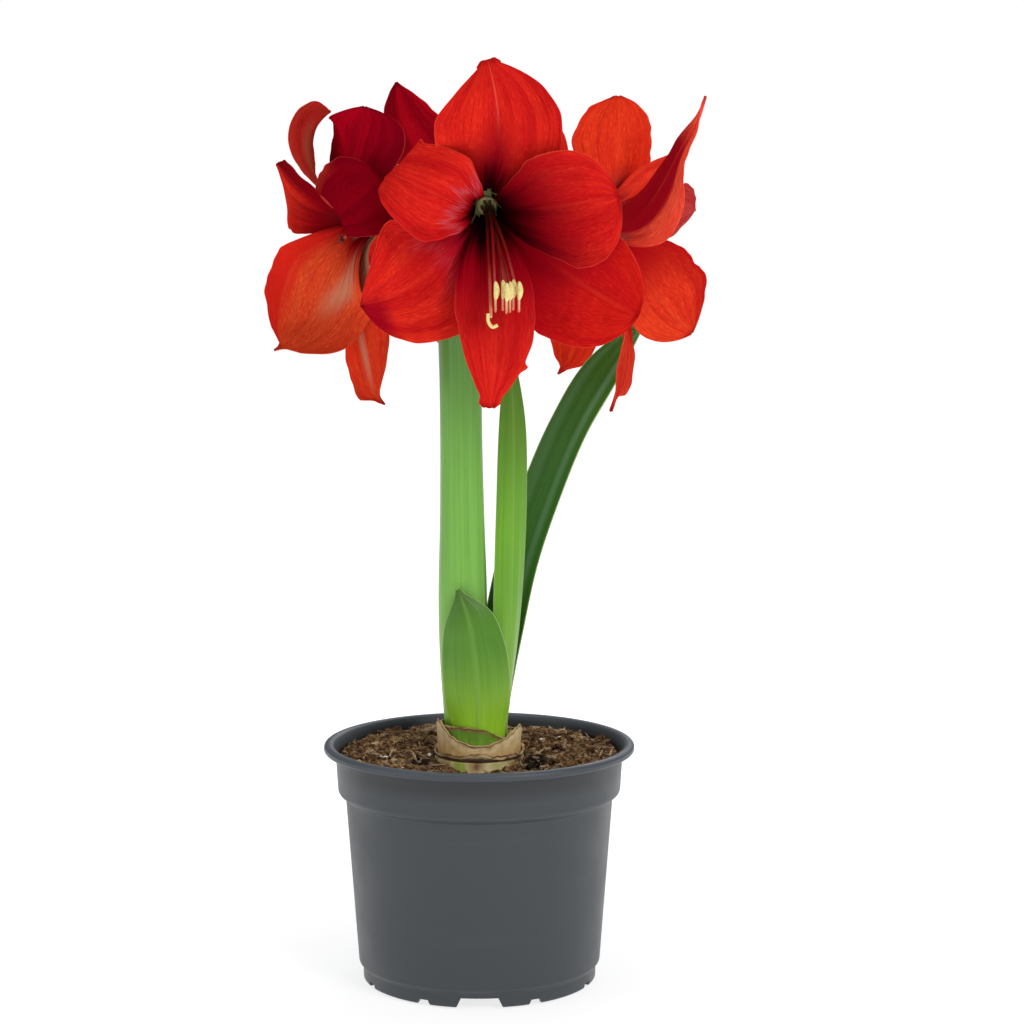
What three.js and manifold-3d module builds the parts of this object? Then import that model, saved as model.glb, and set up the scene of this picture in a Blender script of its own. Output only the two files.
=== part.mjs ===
// Amaryllis in a pot: a nursery pot with soil and a bulb, three strap leaves and one flower stalk that
// carries four red blooms.
// Millimetres, +Z up, origin on the ground under the middle of the pot. The front bloom faces -Y.
import * as THREE from 'three'
import { mergeVertices } from 'three/addons/utils/BufferGeometryUtils.js'
import Module from 'manifold-3d'

const wasm = await Module()
wasm.setup()

// ---------------------------------------------------------------- driving dimensions

const POT_HEIGHT = 116
const POT_RIM_RADIUS = 75
const POT_WALL = 1.6
const POT_SIDES = 40
const COLLAR_TOP_RADIUS = 69.4
const COLLAR_FOOT_RADIUS = 68.3
const COLLAR_FOOT = 93.6 // height where the collar ends
const BODY_TOP = 89.8
const BODY_TOP_RADIUS = 64.6
const BODY_FOOT_RADIUS = 58.6
const RIM_DROP = 3.9 // height of the rolled rim's edge
const FOOT_RADIUS = 56.5
const FOOT_HEIGHT = 7
const FOOT_WIDTH = 2.4
const FLOOR_UNDERSIDE = 5.2
const FLOOR_TOP = 7.2
const DRAIN_HOLES = 8
const DRAIN_RADIUS = 4.5
const DRAIN_CIRCLE = 44

const GAP = 0.35 // clearance between pieces that touch
const SOIL_TOP = 109

const BULB_FOOT = 44
const BULB_TOP = 112
const NECK_RADIUS = 17.2
const SHOULDER_TOP = 109.5
const SHOULDER_RADIUS = 21.4

const TEPAL_THICKNESS = 0.8
const SEPAL_ROOT_RADIUS = 7.1 // the outer three stand on this circle of the tube's mouth
const PETAL_ROOT_RADIUS = 5.4 // the inner three stand on this one
const TUBE_MOUTH_RADIUS = 8.3
const TUBE_LENGTH = 9
const OVARY_LENGTH = 15
const OVARY_RADIUS = 6.6
const STALK_RADIUS = 3.3

const SCAPE_TOP = 338

// ---------------------------------------------------------------- colours and finishes

const finish = (color, roughness) => new THREE.MeshStandardMaterial({ color, roughness, metalness: 0 })
const FINISHES = {
  pot: finish(0x4b5053, 0.45),
  soil: finish(0x3a2517, 0.95),
  bulb: finish(0xa9a35c, 0.6),
  sheath: finish(0x8fae3c, 0.55),
  tunic: finish(0xb08a5a, 0.75),
  scape: finish(0x6fa557, 0.45),
  leaf: finish(0x4f8f2f, 0.4),
  bract: finish(0xb9946a, 0.8),
  tube: finish(0x7fa04a, 0.5),
  sepal: finish(0xd81e18, 0.45),
  petal: finish(0xe02419, 0.45),
  stamens: finish(0xe0c468, 0.6),
}

// ---------------------------------------------------------------- small helpers

const radians = THREE.MathUtils.degToRad
const mix = (a, b, t) => a + (b - a) * t
const smooth = (t) => {
  const s = Math.min(Math.max(t, 0), 1)
  return s * s * (3 - 2 * s)
}
const bell = (x, middle, width) => Math.exp(-(((x - middle) / width) ** 2))

// A smooth curve through values at even stations, read at t from 0 to 1.
function along(values, t) {
  const spans = values.length - 1
  const place = Math.min(Math.max(t, 0), 1) * spans
  const index = Math.min(Math.floor(place), spans - 1)
  const local = place - index
  const before = values[Math.max(index - 1, 0)]
  const start = values[index]
  const end = values[index + 1]
  const after = values[Math.min(index + 2, spans)]
  const startSlope = (end - before) / 2
  const endSlope = (after - start) / 2
  const a = 2 * start - 2 * end + startSlope + endSlope
  const b = -3 * start + 3 * end - 2 * startSlope - endSlope
  return ((a * local + b) * local + startSlope) * local + start
}

function geometryOf(points, faces) {
  const geometry = new THREE.BufferGeometry()
  const values = points.flatMap((p) => [p.x, p.y, p.z])
  geometry.setAttribute('position', new THREE.Float32BufferAttribute(values, 3))
  geometry.setIndex(faces.flat())
  return geometry
}

function solidOf(geometry) {
  const bare = geometry.clone()
  bare.deleteAttribute('normal')
  bare.deleteAttribute('uv')
  const merged = mergeVertices(bare, 1e-4)
  return new wasm.Manifold(
    new wasm.Mesh({
      numProp: 3,
      vertProperties: new Float32Array(merged.getAttribute('position').array),
      triVerts: new Uint32Array(merged.getIndex().array),
    }),
  )
}

function geometryOfSolid(solid) {
  const mesh = solid.getMesh()
  const geometry = new THREE.BufferGeometry()
  geometry.setAttribute('position', new THREE.BufferAttribute(new Float32Array(mesh.vertProperties), 3))
  geometry.setIndex(new THREE.BufferAttribute(new Uint32Array(mesh.triVerts), 1))
  return geometry
}

// A full turn of a closed profile [radius, height], its faces pointing out.
function turned(profile, sides) {
  const lathe = new THREE.LatheGeometry(profile.map(([r, h]) => new THREE.Vector2(r, h)), sides)
  return lathe.rotateX(Math.PI / 2)
}

// A sheet given by surface(u, v) becomes a closed solid: the same grid of triangles on both faces and a
// rim between them. thickness(u, v) is measured along the sheet's normal.
function sheetSolid(surface, thickness, rows, columns) {
  const front = []
  const back = []
  const step = 1e-3
  for (let i = 0; i <= rows; i += 1) {
    for (let j = 0; j <= columns; j += 1) {
      const t = i / rows
      const u = t + 0.3 * t * (1 - t) // the rows draw closer towards the tip
      const v = (2 * j) / columns - 1
      const uLow = Math.max(u - step, 0)
      const uHigh = Math.min(u + step, 1)
      const alongU = surface(uHigh, v).sub(surface(uLow, v))
      const alongV = surface(u, Math.min(v + step, 1)).sub(surface(u, Math.max(v - step, -1)))
      const normal = alongV.cross(alongU).normalize()
      const middle = surface(u, v)
      const half = thickness(u, v) / 2
      front.push(middle.clone().addScaledVector(normal, half))
      back.push(middle.clone().addScaledVector(normal, -half))
    }
  }
  const points = [...front, ...back]
  const offset = front.length
  const at = (i, j) => i * (columns + 1) + j
  const faces = []
  for (let i = 0; i < rows; i += 1) {
    for (let j = 0; j < columns; j += 1) {
      const [a, b, c, d] = [at(i, j), at(i, j + 1), at(i + 1, j + 1), at(i + 1, j)]
      faces.push([a, b, c], [a, c, d])
      faces.push([offset + a, offset + c, offset + b], [offset + a, offset + d, offset + c])
    }
  }
  const rim = []
  for (let j = 0; j < columns; j += 1) rim.push(at(0, j))
  for (let i = 0; i < rows; i += 1) rim.push(at(i, columns))
  for (let j = columns; j > 0; j -= 1) rim.push(at(rows, j))
  for (let i = rows; i > 0; i -= 1) rim.push(at(i, 0))
  rim.forEach((from, k) => {
    const to = rim[(k + 1) % rim.length]
    faces.push([from, offset + to, to], [from, offset + from, offset + to])
  })
  return geometryOf(points, faces)
}

// A round bar of changing radius along a curve, closed by flat ends.
function taperedBar(curve, radiusAt, rows, sides) {
  const frames = curve.computeFrenetFrames(rows, false)
  const points = []
  for (let i = 0; i <= rows; i += 1) {
    const centre = curve.getPointAt(i / rows)
    const radius = radiusAt(i / rows)
    for (let k = 0; k < sides; k += 1) {
      const turn = (2 * Math.PI * k) / sides
      const point = centre.clone()
      point.addScaledVector(frames.normals[i], radius * Math.cos(turn))
      point.addScaledVector(frames.binormals[i], radius * Math.sin(turn))
      points.push(point)
    }
  }
  const foot = points.push(curve.getPointAt(0)) - 1
  const head = points.push(curve.getPointAt(1)) - 1
  const faces = []
  for (let k = 0; k < sides; k += 1) {
    const next = (k + 1) % sides
    faces.push([foot, next, k], [head, rows * sides + k, rows * sides + next])
    for (let i = 0; i < rows; i += 1) {
      const [a, b] = [i * sides + k, i * sides + next]
      faces.push([a, b, b + sides], [a, b + sides, a + sides])
    }
  }
  return geometryOf(points, faces)
}

const group = new THREE.Group()
function addPiece(name, geometry, material, parent = group) {
  const mesh = new THREE.Mesh(geometry, material.clone())
  mesh.name = name
  parent.add(mesh)
  return mesh
}

// ---------------------------------------------------------------- pot

// A thin-walled moulded pot. The rim is rolled outwards, a collar sits below it, and the foot ring under
// the raised floor is cut by notches that let water out.
const WIDE_NOTCH = { bottom: 11.6, top: 8.8, height: 5 } // bottom and top are half-widths
const SMALL_NOTCH = { bottom: 4.2, top: 2.4, height: 2.7 }
const WIDE_NOTCHES = [0, 180] // degrees round the pot from the front
const SMALL_NOTCHES = [28, 66, 114, 152, 208, 246, 294, 332]

function notchBlock({ bottom, top, height }, middle) {
  const outline = new THREE.Shape([
    new THREE.Vector2(-bottom, -1),
    new THREE.Vector2(bottom, -1),
    new THREE.Vector2(top, height),
    new THREE.Vector2(-top, height),
  ])
  const block = new THREE.ExtrudeGeometry(outline, { depth: 12, bevelEnabled: false })
  block.rotateX(Math.PI / 2)
  block.translate(0, -FOOT_RADIUS + 6, 0)
  return block.rotateZ(radians(middle))
}

function pot() {
  const rimFoot = POT_HEIGHT - RIM_DROP
  const profile = [
    [0, FLOOR_UNDERSIDE],
    [FOOT_RADIUS - FOOT_WIDTH, FLOOR_UNDERSIDE],
    [FOOT_RADIUS - FOOT_WIDTH, 0],
    [FOOT_RADIUS - 0.6, 0],
    [FOOT_RADIUS, 0.6],
    [FOOT_RADIUS + 0.1, FOOT_HEIGHT],
    [BODY_FOOT_RADIUS, FOOT_HEIGHT + 2],
    [BODY_TOP_RADIUS, BODY_TOP],
    [COLLAR_FOOT_RADIUS - 0.5, COLLAR_FOOT - 1.4],
    [COLLAR_FOOT_RADIUS, COLLAR_FOOT],
    [COLLAR_TOP_RADIUS, rimFoot - 0.3],
    [POT_RIM_RADIUS - 0.7, rimFoot],
    [POT_RIM_RADIUS, rimFoot + 0.8],
    [POT_RIM_RADIUS - 0.1, POT_HEIGHT - 1.2],
    [POT_RIM_RADIUS - 1.2, POT_HEIGHT - 0.2],
    [POT_RIM_RADIUS - 3, POT_HEIGHT],
    [POT_RIM_RADIUS - 4.6, POT_HEIGHT - 0.7],
    [COLLAR_TOP_RADIUS - POT_WALL, rimFoot - 1.5],
    [COLLAR_FOOT_RADIUS - POT_WALL, COLLAR_FOOT],
    [BODY_TOP_RADIUS - POT_WALL, BODY_TOP - 1.2],
    [BODY_FOOT_RADIUS - POT_WALL - 0.4, FLOOR_TOP + 1],
    [BODY_FOOT_RADIUS - POT_WALL - 1.4, FLOOR_TOP],
    [0, FLOOR_TOP],
  ]
  let solid = solidOf(turned(profile, POT_SIDES))
  for (const turn of WIDE_NOTCHES) solid = solid.subtract(solidOf(notchBlock(WIDE_NOTCH, turn)))
  for (const turn of SMALL_NOTCHES) solid = solid.subtract(solidOf(notchBlock(SMALL_NOTCH, turn)))
  for (let k = 0; k < DRAIN_HOLES; k += 1) {
    const drain = new THREE.CylinderGeometry(DRAIN_RADIUS, DRAIN_RADIUS, 10, 12)
    drain.rotateX(Math.PI / 2)
    const turn = (2 * Math.PI * (k + 0.5)) / DRAIN_HOLES
    drain.translate(DRAIN_CIRCLE * Math.cos(turn), DRAIN_CIRCLE * Math.sin(turn), FLOOR_TOP)
    solid = solid.subtract(solidOf(drain))
  }
  return geometryOfSolid(solid)
}

// ---------------------------------------------------------------- bulb and soil

const BULB_PROFILE = [ // [radius, height] from the basal plate to the shoulder
  [11, BULB_FOOT],
  [22, 50],
  [30.5, 61],
  [33.5, 74],
  [32, 86],
  [27.5, 97],
  [22.6, 105],
  [SHOULDER_RADIUS, SHOULDER_TOP],
]

function bulb() {
  const neck = [
    [NECK_RADIUS, SHOULDER_TOP],
    [NECK_RADIUS - 0.8, BULB_TOP],
    [0, BULB_TOP],
  ]
  return turned([[0, BULB_FOOT], ...BULB_PROFILE, ...neck], 24)
}

// The fill follows the inside of the pot and the outside of the bulb, and its top is lumpy.
const SOIL_SIDES = 24
const lump = (x, y) =>
  0.9 * Math.sin(0.21 * x + 1.3) * Math.cos(0.19 * y - 0.4) +
  0.6 * Math.sin(0.43 * x - 0.37 * y + 2.1) +
  0.5 * Math.cos(0.33 * x + 0.52 * y)

function soil() {
  const bulbClear = 0.45
  const bodyFoot = FOOT_HEIGHT + 2
  const wall = (z) => mix(BODY_FOOT_RADIUS, BODY_TOP_RADIUS, (z - bodyFoot) / (BODY_TOP - bodyFoot))
  const rings = [
    [54.4, FLOOR_TOP + GAP, 0],
    [wall(30) - POT_WALL - 0.8, 30, 0],
    [wall(BODY_TOP) - POT_WALL - 0.8, BODY_TOP - 1, 0],
    [COLLAR_FOOT_RADIUS - POT_WALL - 0.8, COLLAR_FOOT + 0.6, 0],
    [COLLAR_TOP_RADIUS - POT_WALL - 0.8, SOIL_TOP - 1.5, 0.3],
    [58, SOIL_TOP, 1],
    [50, SOIL_TOP + 0.4, 1],
    [42, SOIL_TOP + 0.6, 1],
    [34, SOIL_TOP + 0.2, 1],
    [28, SOIL_TOP - 1, 0.8],
    [24.6, SOIL_TOP - 2.6, 0.2],
  ]
  const hole = [...BULB_PROFILE].reverse().filter(([, z]) => z < SOIL_TOP - 4)
  for (const [radius, z] of hole) rings.push([radius + bulbClear, z, 0])
  const points = []
  for (const [radius, z, lumps] of rings) {
    for (let k = 0; k < SOIL_SIDES; k += 1) {
      const turn = (2 * Math.PI * k) / SOIL_SIDES
      const [x, y] = [radius * Math.cos(turn), radius * Math.sin(turn)]
      points.push(new THREE.Vector3(x, y, z + lumps * lump(x, y)))
    }
  }
  const under = points.push(new THREE.Vector3(0, 0, FLOOR_TOP + GAP)) - 1
  const bed = points.push(new THREE.Vector3(0, 0, BULB_FOOT - bulbClear)) - 1
  const deepest = (rings.length - 1) * SOIL_SIDES
  for (let k = 0; k < SOIL_SIDES; k += 1) points[deepest + k].z = BULB_FOOT - bulbClear
  const faces = []
  for (let k = 0; k < SOIL_SIDES; k += 1) {
    const next = (k + 1) % SOIL_SIDES
    faces.push([under, next, k], [bed, deepest + k, deepest + next])
    for (let i = 0; i < rings.length - 1; i += 1) {
      const [a, b] = [i * SOIL_SIDES + k, i * SOIL_SIDES + next]
      faces.push([a, b, b + SOIL_SIDES], [a, b + SOIL_SIDES, a + SOIL_SIDES])
    }
  }
  return geometryOf(points, faces)
}

// A torn collar of thin skin that stands on the bulb's shoulder. topAt(turn) is its height and
// leanAt(turn) how far its edge leans out.
function skinRing({ radius, thickness }, topAt, leanAt) {
  const sides = SKIN_SIDES
  const foot = SHOULDER_TOP + GAP
  const points = []
  const rows = 2
  for (const side of [thickness, 0]) {
    for (let i = 0; i <= rows; i += 1) {
      for (let k = 0; k < sides; k += 1) {
        const turn = (2 * Math.PI * k) / sides
        const rise = i / rows
        const r = radius + side + leanAt(turn) * rise ** 2
        points.push(new THREE.Vector3(r * Math.cos(turn), r * Math.sin(turn), mix(foot, topAt(turn), rise)))
      }
    }
  }
  const inner = (rows + 1) * sides
  const faces = []
  for (let k = 0; k < sides; k += 1) {
    const next = (k + 1) % sides
    for (let i = 0; i < rows; i += 1) {
      const [a, b] = [i * sides + k, i * sides + next]
      faces.push([a, b, b + sides], [a, b + sides, a + sides])
      faces.push([inner + a, inner + b + sides, inner + b])
      faces.push([inner + a, inner + a + sides, inner + b + sides])
    }
    const top = rows * sides
    faces.push([top + k, top + next, inner + top + next], [top + k, inner + top + next, inner + top + k])
    faces.push([k, inner + next, next], [k, inner + k, inner + next])
  }
  return geometryOf(points, faces)
}

const SKIN_SIDES = 24
const SHEATH = { radius: 17.9, thickness: 1.2 }
const INNER_TUNIC = { radius: 19.45, thickness: 0.75 }
const OUTER_TUNIC = { radius: 20.55, thickness: 0.75 }
const FRONT_LEFT = radians(215)
const sheathTop = (turn) => 121 + 5.2 * Math.cos(turn - FRONT_LEFT) + 1.1 * Math.sin(3 * turn)
const standing = (share) => Math.max(share, 0) ** 8 // a narrow strip on one side of the neck
const innerTunicTop = (turn) =>
  117.4 + 11.5 * standing(-Math.cos(turn)) + 8 * standing(Math.cos(turn)) + 0.8 * Math.sin(5 * turn + 0.6)
const outerTunicTop = (turn) => 112.6 + 0.6 * Math.sin(3 * turn + 0.4) + 0.5 * Math.sin(7 * turn)
const outerTunicLean = (turn) => 0.7 + 0.3 * Math.sin(4 * turn)
const innerTunicLean = (turn) => 0.3 + 0.2 * Math.sin(2 * turn)

// ---------------------------------------------------------------- flower stalk and leaves

function scape() {
  const curve = new THREE.CatmullRomCurve3([
    new THREE.Vector3(-6, 3.2, BULB_TOP + GAP),
    new THREE.Vector3(-6.2, 3.2, 124),
    new THREE.Vector3(-7.6, 2.8, 165),
    new THREE.Vector3(-8, 2, 220),
    new THREE.Vector3(-8.6, 1, 290),
    new THREE.Vector3(-8.6, 0, 326),
    new THREE.Vector3(-8.6, 0, SCAPE_TOP - GAP),
  ])
  return taperedBar(curve, (t) => along([10.3, 11.4, 11.7, 10.7, 10.1, 10.3, 11.8], t), 12, 16)
}

// A strap leaf follows a spine of [x, y, z] points. It is a channel: its cross-section is an arc that
// turns by trough degrees from the middle to each edge, open towards the facing direction.
const LEAVES = {
  leaf_front: {
    spine: [
      [0, -15.4, 112.5],
      [-0.2, -15.6, 126],
      [-0.8, -16.2, 140],
      [-2.2, -16.2, 160],
      [-4.6, -15.4, 176],
      [-10, -13.4, 192],
    ],
    half: [15, 15.4, 17, 17.4, 16, 11.8, 0.9],
    trough: [62, 62, 48, 40, 38, 30, 12],
    facing: [90, 90],
    thickness: [2.4, 1.4],
  },
  leaf_middle: {
    spine: [
      [11, -2.4, 113],
      [12.2, -3, 130],
      [14.2, -3.8, 160],
      [15.4, -3, 195],
      [16.2, -1, 230],
      [16.4, 1.5, 270],
      [13.8, 5, 318],
    ],
    half: [8.4, 9, 9.2, 8.8, 8.2, 6.8, 0.9],
    trough: [44, 42, 38, 36, 34, 30, 14],
    facing: [168, 155, 138, 122, 110, 104, 98],
    thickness: [2.4, 1.3],
  },
  leaf_right: {
    spine: [
      [11.4, 10.4, 113.4],
      [10, 12.6, 128],
      [9.8, 14.8, 148],
      [12.8, 16.8, 172],
      [19.2, 18, 202.5],
      [29.4, 20, 232.5],
      [43.8, 22, 266.5],
      [60.5, 25, 294],
      [83, 29, 321],
    ],
    half: [8, 9.2, 10.2, 10.6, 10.6, 10.4, 10, 9.2, 0.9],
    trough: [42, 42, 40, 38, 36, 34, 32, 28, 12],
    facing: [218, 228, 248, 262, 266, 264, 260, 254, 248],
    thickness: [2.4, 1.3],
  },
}

function leaf({ spine, half, trough, facing, thickness }) {
  const curve = new THREE.CatmullRomCurve3(spine.map(([x, y, z]) => new THREE.Vector3(x, y, z)))
  const surface = (u, v) => {
    const centre = curve.getPoint(u)
    const tangent = curve.getTangent(u)
    const heading = radians(along(facing, u))
    const face = new THREE.Vector3(Math.cos(heading), Math.sin(heading), 0)
    const side = new THREE.Vector3().crossVectors(tangent, face).normalize()
    face.crossVectors(side, tangent).normalize()
    const width = along(half, u)
    const turn = radians(along(trough, u))
    const radius = width / turn
    const across = radius * Math.sin(turn * v)
    const rise = radius * (1 - Math.cos(turn * v))
    return centre.addScaledVector(side, across).addScaledVector(face, rise)
  }
  const thick = (u, v) => mix(thickness[0], thickness[1], v * v) * mix(1, 0.6, u)
  return sheetSolid(surface, thick, 13, 4)
}

// ---------------------------------------------------------------- blooms

// A bloom opens along its heading. Round it, 0 degrees is up and the angle grows clockwise as seen from
// the front. Each tepal leaves the tube's mouth at its place round the axis. bend is the angle of its
// spine from the axis at even stations, sway turns the spine sideways, twist rolls the blade, and cup
// turns each edge of the blade towards the axis, all in degrees. Each flare widens one side, -1 or 1, of
// a blade round one share of its length, as [side, at, spread, gain], or narrows it by a gain below 0.
const BLOOMS = {
  front: {
    mouth: [3.8, -45, 374],
    heading: -90,
    droop: 14,
    stalkFoot: [-8.6, -5.4],
    stamens: { lean: 8.5, reach: 1 },
    grid: [10, 6], // rows and columns of each tepal
    sepals: {
      top: {
        place: 6, length: 95, half: 28, peak: 0.67, blunt: 0.4,
        bend: [15, 34, 52, 83, 115], sway: [0, -22], twist: [7, -2], cup: [-11, -19],
      },
      right: {
        place: 126, length: 88, half: 29, peak: 0.57, blunt: 1.0,
        bend: [16, 50, 64, 69, 74], sway: [-5, -12], twist: [0, 2], cup: [-3, 9],
      },
      left: {
        place: 235, length: 81, half: 31, peak: 0.55, blunt: 0.6,
        bend: [7, 36, 60, 79, 92], sway: [-5, 24], twist: [-3, 2], cup: [-4, 22],
      },
    },
    petals: {
      right: {
        place: 75, length: 83, half: 30, peak: 0.67, blunt: 1.0,
        bend: [5, 27, 51, 67, 68], sway: [-3, 0], twist: [-13, -8], cup: [5, 1],
      },
      bottom: {
        place: 178, length: 102, half: 18, peak: 0.54, blunt: 0.5,
        bend: [12, 31, 53, 73, 93], sway: [-3, 12], twist: [4, 11], cup: [6, 0],
      },
      left: {
        place: 297, length: 89, half: 22, peak: 0.5, blunt: 0.5,
        bend: [8, 15, 53, 121, 201], sway: [7, -26], twist: [-3, -17], cup: [14, -10],
      },
    },
  },
  left: {
    mouth: [-48, -10, 368],
    heading: 216,
    droop: 12,
    stalkFoot: [-14.0, 0],
    stamens: { lean: 0, reach: 0.2 },
    grid: [9, 4], // rows and columns of each tepal
    sepals: {
      top: {
        place: 22, length: 65, half: 35, peak: 0.65, blunt: 0.9,
        bend: [14, 56, 80, 103, 125], sway: [16, -19], twist: [23, -7], cup: [5, -24],
      },
      near: {
        place: 179, length: 87.4, half: 16.4, peak: 0.74, blunt: 0.94,
        bend: [22, 70, 97, 86, 80], sway: [10, -28], twist: [9, -2], cup: [-33, 22],
        flares: [[-1, 0.3, 0.15, 0.7]],
      },
      far: {
        place: 282, length: 71, half: 13, peak: 0.61, blunt: 0.3,
        bend: [20, 54, 90, 110, 112], sway: [17, 12], twist: [-7, 8], cup: [5, -33],
        flares: [[-1, 0.6, 0.25, 0.4]],
      },
    },
    petals: {
      near: {
        place: 64.7, length: 81.8, half: 21.5, peak: 0.77, blunt: 1.0,
        bend: [12, 29, 57, 100, 138], sway: [8, -12], twist: [-2, -15], cup: [-1, -9],
        flares: [[1, 0.52, 0.24, -0.55]],
      },
      bottom: {
        place: 216, length: 78.1, half: 30, peak: 0.61, blunt: 0.86,
        bend: [20, 51, 81, 66, 28], sway: [-1, -5], twist: [14, -7], cup: [-12, 24],
        flares: [[-1, 0.3, 0.15, 0.5]],
      },
      far: {
        place: 325, length: 75, half: 15, peak: 0.72, blunt: 0.1,
        bend: [11, 48, 86, 137, 172], sway: [23, -12], twist: [47, 15], cup: [17, 8],
      },
    },
  },
  right: {
    mouth: [49, -8, 367],
    heading: -30,
    droop: 10,
    stalkFoot: [-3.2, 0],
    stamens: { lean: 0, reach: 0.2 },
    grid: [9, 4], // rows and columns of each tepal
    sepals: {
      top: {
        place: 353, length: 60, half: 29, peak: 0.63, blunt: 0.9,
        bend: [13, 64, 97, 100, 102], sway: [7, 4], twist: [10, 11], cup: [-22, -2],
      },
      far: {
        place: 80, length: 72, half: 14, peak: 0.71, blunt: 0.2,
        bend: [22, 50, 74, 90, 98], sway: [0, 13], twist: [-9, -10], cup: [-2, -1],
      },
      near: {
        place: 209, length: 97, half: 17, peak: 0.63, blunt: 0.5,
        bend: [15, 46, 64, 73, 87], sway: [-14, 19], twist: [9, 6], cup: [1, 5],
      },
    },
    petals: {
      far: {
        place: 25, length: 61, half: 10, peak: 0.61, blunt: 0.8,
        bend: [15, 46, 54, 56, 65], sway: [-1, -3], twist: [13, -36], cup: [0, 23],
      },
      bottom: {
        place: 165, length: 72.4, half: 31, peak: 0.45, blunt: 0.8,
        bend: [7, 30, 42, 46, 33], sway: [-2, -4], twist: [-20, -31], cup: [4, -1],
        flares: [[-1, 0.45, 0.15, 0.2]],
      },
      near: {
        place: 266, length: 118, half: 17, peak: 0.42, blunt: 0.0,
        bend: [14, 24, 37, 37, 14], sway: [45, 62], twist: [-13, 4], cup: [26, 0],
        flares: [[1, 0.4, 0.2, -0.4], [-1, 0.77, 0.1, -0.4]],
      },
    },
  },
  back: {
    mouth: [4, 42, 369],
    heading: 84,
    droop: 12,
    stalkFoot: [-8.6, 5.4],
    stamens: { lean: 0, reach: 0.4 },
    grid: [9, 4], // rows and columns of each tepal
    sepals: {
      top: {
        place: 35, length: 98, half: 16, peak: 0.65, blunt: 0.5,
        bend: [17, 52, 75, 97, 118], sway: [8, -22], twist: [0, -6], cup: [1, 3],
      },
      right: {
        place: 156, length: 78, half: 26, peak: 0.62, blunt: 0.5,
        bend: [15, 35, 58, 84, 109], sway: [4, 3], twist: [0, 0], cup: [0, 0],
      },
      left: {
        place: 288, length: 87, half: 24, peak: 0.61, blunt: 0.5,
        bend: [15, 37, 57, 76, 93], sway: [0, -2], twist: [0, -1], cup: [0, -1],
      },
    },
    petals: {
      right: {
        place: 100, length: 85, half: 25, peak: 0.62, blunt: 0.8,
        bend: [12, 33, 55, 76, 98], sway: [0, 0], twist: [1, 0], cup: [0, 0],
      },
      bottom: {
        place: 229, length: 108, half: 15, peak: 0.58, blunt: 1.0,
        bend: [13, 36, 60, 84, 104], sway: [-4, -76], twist: [0, -5], cup: [0, 0],
      },
      left: {
        place: 337, length: 93, half: 23, peak: 0.61, blunt: 0.8,
        bend: [11, 30, 48, 65, 81], sway: [3, -1], twist: [0, -2], cup: [0, -1],
      },
    },
  },
}

// Half-width of a blade along its length, as a share of its widest: narrow at the tube, widest at peak,
// then a lobe that closes round where blunt is 1 and tapers to a point where it is 0 or less.
function bladeShare(u, { peak, blunt }) {
  const rise = 0.18 + 0.82 * Math.sin((Math.PI / 2) * Math.min(u / peak, 1)) ** 1.3
  const past = Math.min(Math.max((u - peak) / (1 - peak), 0), 1)
  const fall = (1 - past ** (1.5 + blunt)) ** (1.15 - 0.6 * blunt)
  return Math.max(u < peak ? rise : fall, 0.03)
}

function bloomFrame({ mouth, heading, droop }) {
  const axis = new THREE.Vector3(
    Math.cos(radians(heading)) * Math.cos(radians(droop)),
    Math.sin(radians(heading)) * Math.cos(radians(droop)),
    -Math.sin(radians(droop)),
  )
  const level = new THREE.Vector3(0, 0, 1).cross(axis).normalize()
  const up = axis.clone().cross(level)
  return { mouth: new THREE.Vector3(...mouth), axis, up, side: level }
}

const SPINE_STEPS = 48
const FUNNEL_SHARE = 0.92 // a blade reaches this share of its radius to each side, clear of its neighbours
function tepalSpine(frame, tepal, rootRadius) {
  const place = radians(tepal.place)
  const out = frame.up.clone().multiplyScalar(Math.cos(place)).addScaledVector(frame.side, Math.sin(place))
  const round = frame.up.clone().multiplyScalar(-Math.sin(place))
  round.addScaledVector(frame.side, Math.cos(place))
  const stations = []
  const centre = frame.mouth.clone().addScaledVector(frame.axis, GAP).addScaledVector(out, rootRadius)
  const step = tepal.length / SPINE_STEPS
  for (let k = 0; k <= SPINE_STEPS; k += 1) {
    const u = k / SPINE_STEPS
    const bend = radians(along(tepal.bend, u))
    const sway = radians(along([0, ...tepal.sway], u))
    const tangent = frame.axis.clone().multiplyScalar(Math.cos(bend)).addScaledVector(out, Math.sin(bend))
    const face = frame.axis.clone().multiplyScalar(Math.sin(bend)).addScaledVector(out, -Math.cos(bend))
    const swung = tangent.clone().multiplyScalar(Math.cos(sway)).addScaledVector(round, Math.sin(sway))
    const across = round.clone().multiplyScalar(Math.cos(sway)).addScaledVector(tangent, -Math.sin(sway))
    const radius = centre.clone().sub(frame.mouth).dot(out)
    stations.push({ centre: centre.clone(), tangent: swung, face, across, bend, radius })
    centre.addScaledVector(swung, step)
  }
  return stations
}

function flared(v, u, flares = []) {
  return flares.reduce((reach, [side, at, spread, gain]) => {
    if (v * side <= 0) return reach
    return reach * (1 + gain * Math.exp(-(((u - at) / spread) ** 2)) * smooth(u / 0.2))
  }, v)
}

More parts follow.
